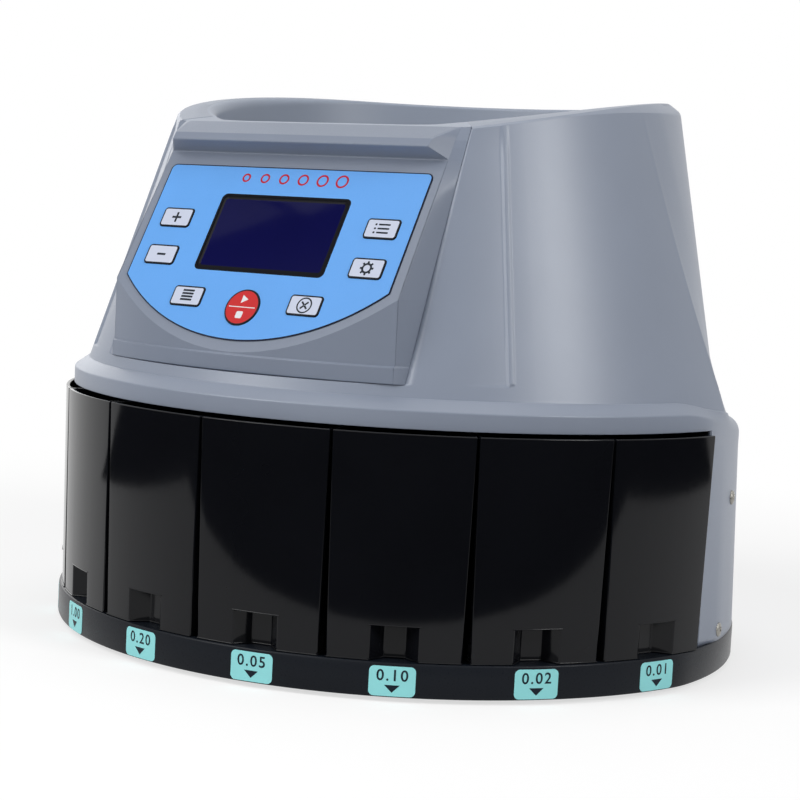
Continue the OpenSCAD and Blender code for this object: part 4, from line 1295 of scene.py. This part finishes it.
def box_outline(z, wall):
    """A box at a height, drawn in by a wall: its front arc from left to right, then its inner end."""
    half_pitch = math.radians(BOX_PITCH / 2)
    up = (z - BOX_Z) / (BOX_TOP - BOX_Z)
    radius = lerp(BOX_FOOT_R, FRONT_R, up) - wall
    side = lerp(BOX_GAP_LOW, BOX_GAP_TOP, up) / 2 + wall
    reach = half_pitch - math.asin(side / radius)
    notch = math.asin((NOTCH_W / 2 + wall) / radius)
    angles = spread(-reach, -notch, BOX_STEPS) + spread(-notch, notch, NOTCH_STEPS)[1:]
    angles += spread(notch, reach, BOX_STEPS)[1:]
    line = [(radius * math.sin(a), radius * math.cos(a)) for a in angles]
    out = BOX_INNER + wall
    end = out * math.tan(half_pitch) - side / math.cos(half_pitch)
    return line + [(end, out), (-end, out)]


def coin_box(number):
    """An open wedge: outside, rim and inside as rings, with a finger notch cut in and lined on both sides."""
    at = radial_frame(box_angle(number))
    notch_top = BOX_Z + NOTCH_H
    levels = [(BOX_Z, 0.0), (notch_top, 0.0), (BOX_TOP, 0.0), (BOX_TOP, BOX_WALL),
              (notch_top + BOX_WALL, BOX_WALL), (BOX_Z + BOX_WALL, BOX_WALL)]
    rings = [[at(across, out, z) for across, out in box_outline(z, wall)] for z, wall in levels]
    points = [point for ring in rings for point in ring]
    count = len(rings[0])
    first = BOX_STEPS
    last = BOX_STEPS + NOTCH_STEPS
    open_rows = (0, len(levels) - 2)
    faces = []
    for number_of_face, face in enumerate(grid_faces(len(levels), count, closed=True)):
        row, column = divmod(number_of_face, count)
        if row not in open_rows or not first <= column < last:
            faces.append(face)
    for wall, low_ring, high_ring in ((0.0, 0, 1), (BOX_WALL, 5, 4)):
        deep = BOX_FOOT_R - NOTCH_DEEP - wall
        half = NOTCH_BACK / 2 + wall * 0.6
        low = len(points)
        for ring in (low_ring, high_ring):
            points += [at(-half, deep, levels[ring][0]), at(half, deep, levels[ring][0])]
        under = [low_ring * count + j for j in range(count)]
        over = [high_ring * count + j for j in range(count)]
        faces.append((under[first], low, low + 2, over[first]))
        faces.append((low, low + 1, low + 3, low + 2))
        faces.append((low + 1, under[last], over[last], low + 3))
        faces.append((*over[first:last + 1], low + 3, low + 2))
        faces.append((*under[:first + 1], low, low + 1, *under[last:]))
    body = "coin_box_%d" % number
    piece(body + "_shell", points, faces, ["box_black"], body, (body,),
          bevel=(0.5, 35.0), sharp=40)


for number in range(1, BOX_COUNT + 1):
    coin_box(number)


# Finishes of the solids that stay in view: each takes the paint that has its slot's name

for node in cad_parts.values():
    names = [holder.material.name.split(".")[0] for holder in node.material_slots if holder.material]
    for holder in node.material_slots:
        if names and names[0] in PAINT:
            holder.material = PAINT[names[0]]


# Floor, light and camera

def seen_rays(tree):
    """1 for rays that show the background: from the camera, mirrored or through glass."""
    path = tree.nodes.new("ShaderNodeLightPath")
    shown = path.outputs["Is Camera Ray"]
    for kind in ("Is Glossy Ray", "Is Transmission Ray"):
        either = add_node(tree, "Math", {0: shown, 1: path.outputs[kind]})
        either.operation = "MAXIMUM"
        shown = either.outputs[0]
    return shown


def mixed(tree, share, first, second):
    return add_node(tree, "MixShader", {"Fac": share, 1: first, 2: second}).outputs["Shader"]


def glow(tree, strength):
    return add_node(tree, "Emission", {"Strength": strength}).outputs["Emission"]


def floor_material():
    """Pale grey for the light it gives back; where it is seen, it fades from the shadow to plain white."""
    material, tree, shader = node_material("floor_white")
    vector = object_coords(tree)
    cloud = tint(tree, noise(tree, vector, 240.0), [0.74] * 3, [0.78] * 3)
    fill(tree, shader, {"Base Color": cloud, "Roughness": 0.9, "Specular IOR Level": 0.0})
    shaded = add_node(tree, "BsdfDiffuse", {"Color": (0.42, 0.42, 0.42, 1)})
    near = add_node(tree, "AddShader", {0: shaded.outputs["BSDF"], 1: glow(tree, 0.66)})
    distance = add_node(tree, "VectorMath", {0: vector})
    distance.operation = "LENGTH"
    fade = add_node(tree, "MapRange", {"Value": distance.outputs["Value"], "From Min": 0.3, "From Max": 0.75})
    fade.interpolation_type = "SMOOTHSTEP"
    seen = mixed(tree, fade.outputs["Result"], near.outputs["Shader"], glow(tree, 1.0))
    surface = mixed(tree, seen_rays(tree), shader.outputs["BSDF"], seen)
    fill(tree, tree.nodes["Material Output"], {"Surface": surface})
    return material


def stage_piece(name, points, faces, material):
    mesh = bpy.data.meshes.new(name)
    mesh.from_pydata(points, [], faces)
    mesh.materials.append(material)
    made = new_object(name, mesh)
    return made


def dark_card():
    """Black card on the floor, in front of the picture, that shows in the boxes' gloss alone."""
    turn = math.radians(28.8)
    out = Vector((math.sin(turn), -math.cos(turn), 0.0))
    along = Vector((math.cos(turn), math.sin(turn), 0.0))
    middle = place((0.0, 0.0, 0.5 - FOOT_H))
    edge = ((-3.0, -0.12), (-0.62, -0.12), (-0.62, 0.326), (0.65, 0.326), (0.795, -0.12), (3.0, -0.12))
    corners = [middle + along * a + out * o for a, o in edge]
    corners += [middle + along * a + out * 3.0 for a in (-3.0, -0.62, 0.65, 3.0)]
    faces = [(0, 1, 2, 7, 6), (2, 3, 8, 7), (3, 4, 5, 9, 8)]
    made = stage_piece("dark_card", corners, faces, PAINT["card_black"])
    made.visible_camera = False
    made.visible_diffuse = False
    made.visible_shadow = False
    made.visible_transmission = False


FLOOR = [(-4, -4, 0), (4, -4, 0), (4, 4, 0), (-4, 4, 0)]
stage_piece("floor", FLOOR, [(0, 1, 2, 3)], floor_material())
dark_card()

LIGHT_AIM = Vector((0.0, 0.0, 0.15))


def area_light(name, at, size, power):
    """A rectangular lamp in metres and watts, aimed at the sorter's middle."""
    data = bpy.data.lights.new(name, "AREA")
    data.shape = "RECTANGLE"
    data.size, data.size_y = size
    data.energy = power
    made = new_object(name, data)
    made.location = at
    made.rotation_euler = (LIGHT_AIM - Vector(at)).to_track_quat("-Z", "Y").to_euler()


area_light("key", (-0.6, -1.3, 2.0), (1.0, 1.0), 11.5)
area_light("fill", (-0.9, -1.7, 1.1), (0.9, 0.9), 13.5)
area_light("side", (1.736, -0.213, 1.17), (0.5, 0.6), 13)
area_light("top", (0.0, 0.2, 2.2), (1.4, 1.4), 8.5)
area_light("low", (0.2, -1.9, 0.45), (1.0, 0.5), 1.5)
area_light("back", (-1.8, 1.0, 0.8), (1.0, 0.9), 4)


def studio_world():
    """Weak even light on the object, and plain white behind it."""
    world = bpy.data.worlds.new("studio")
    bpy.context.scene.world = world
    world.use_nodes = True
    tree = world.node_tree
    white = (1, 1, 1, 1)
    light = tree.nodes["Background"]
    fill(tree, light, {"Color": white, "Strength": 0.15})
    seen = add_node(tree, "Background", {"Color": white, "Strength": 1.0})
    shown = mixed(tree, seen_rays(tree), light.outputs["Background"], seen.outputs["Background"])
    fill(tree, tree.nodes["World Output"], {"Surface": shown})


studio_world()
bpy.context.scene.view_settings.view_transform = "Standard"

CAMERA_AIM = (-8.05, -7.38, 113.6)
CAMERA_DISTANCE = 1043.6
CAMERA_AZIMUTH = math.radians(32.859)
CAMERA_ELEVATION = math.radians(5.31)
CAMERA_ROLL = math.radians(2.967)
FOCAL_PIXELS = 2009.76
IMAGE_PIXELS = 800


def camera():
    """The photograph's view: turned about the upright axis, tilted, then rolled."""
    turn = Matrix.Rotation(CAMERA_AZIMUTH, 3, "Z") @ Matrix.Rotation(math.pi / 2 - CAMERA_ELEVATION, 3, "X")
    turn = turn @ Matrix.Rotation(CAMERA_ROLL, 3, "Z")
    data = bpy.data.cameras.new("camera")
    data.sensor_width = 36.0
    data.lens = FOCAL_PIXELS / IMAGE_PIXELS * data.sensor_width
    data.clip_end = 50.0
    made = new_object("camera", data)
    at = place(CAMERA_AIM) + turn.col[2] * CAMERA_DISTANCE * MM
    made.matrix_world = Matrix.Translation(at) @ turn.to_4x4()
    bpy.context.scene.camera = made


camera()
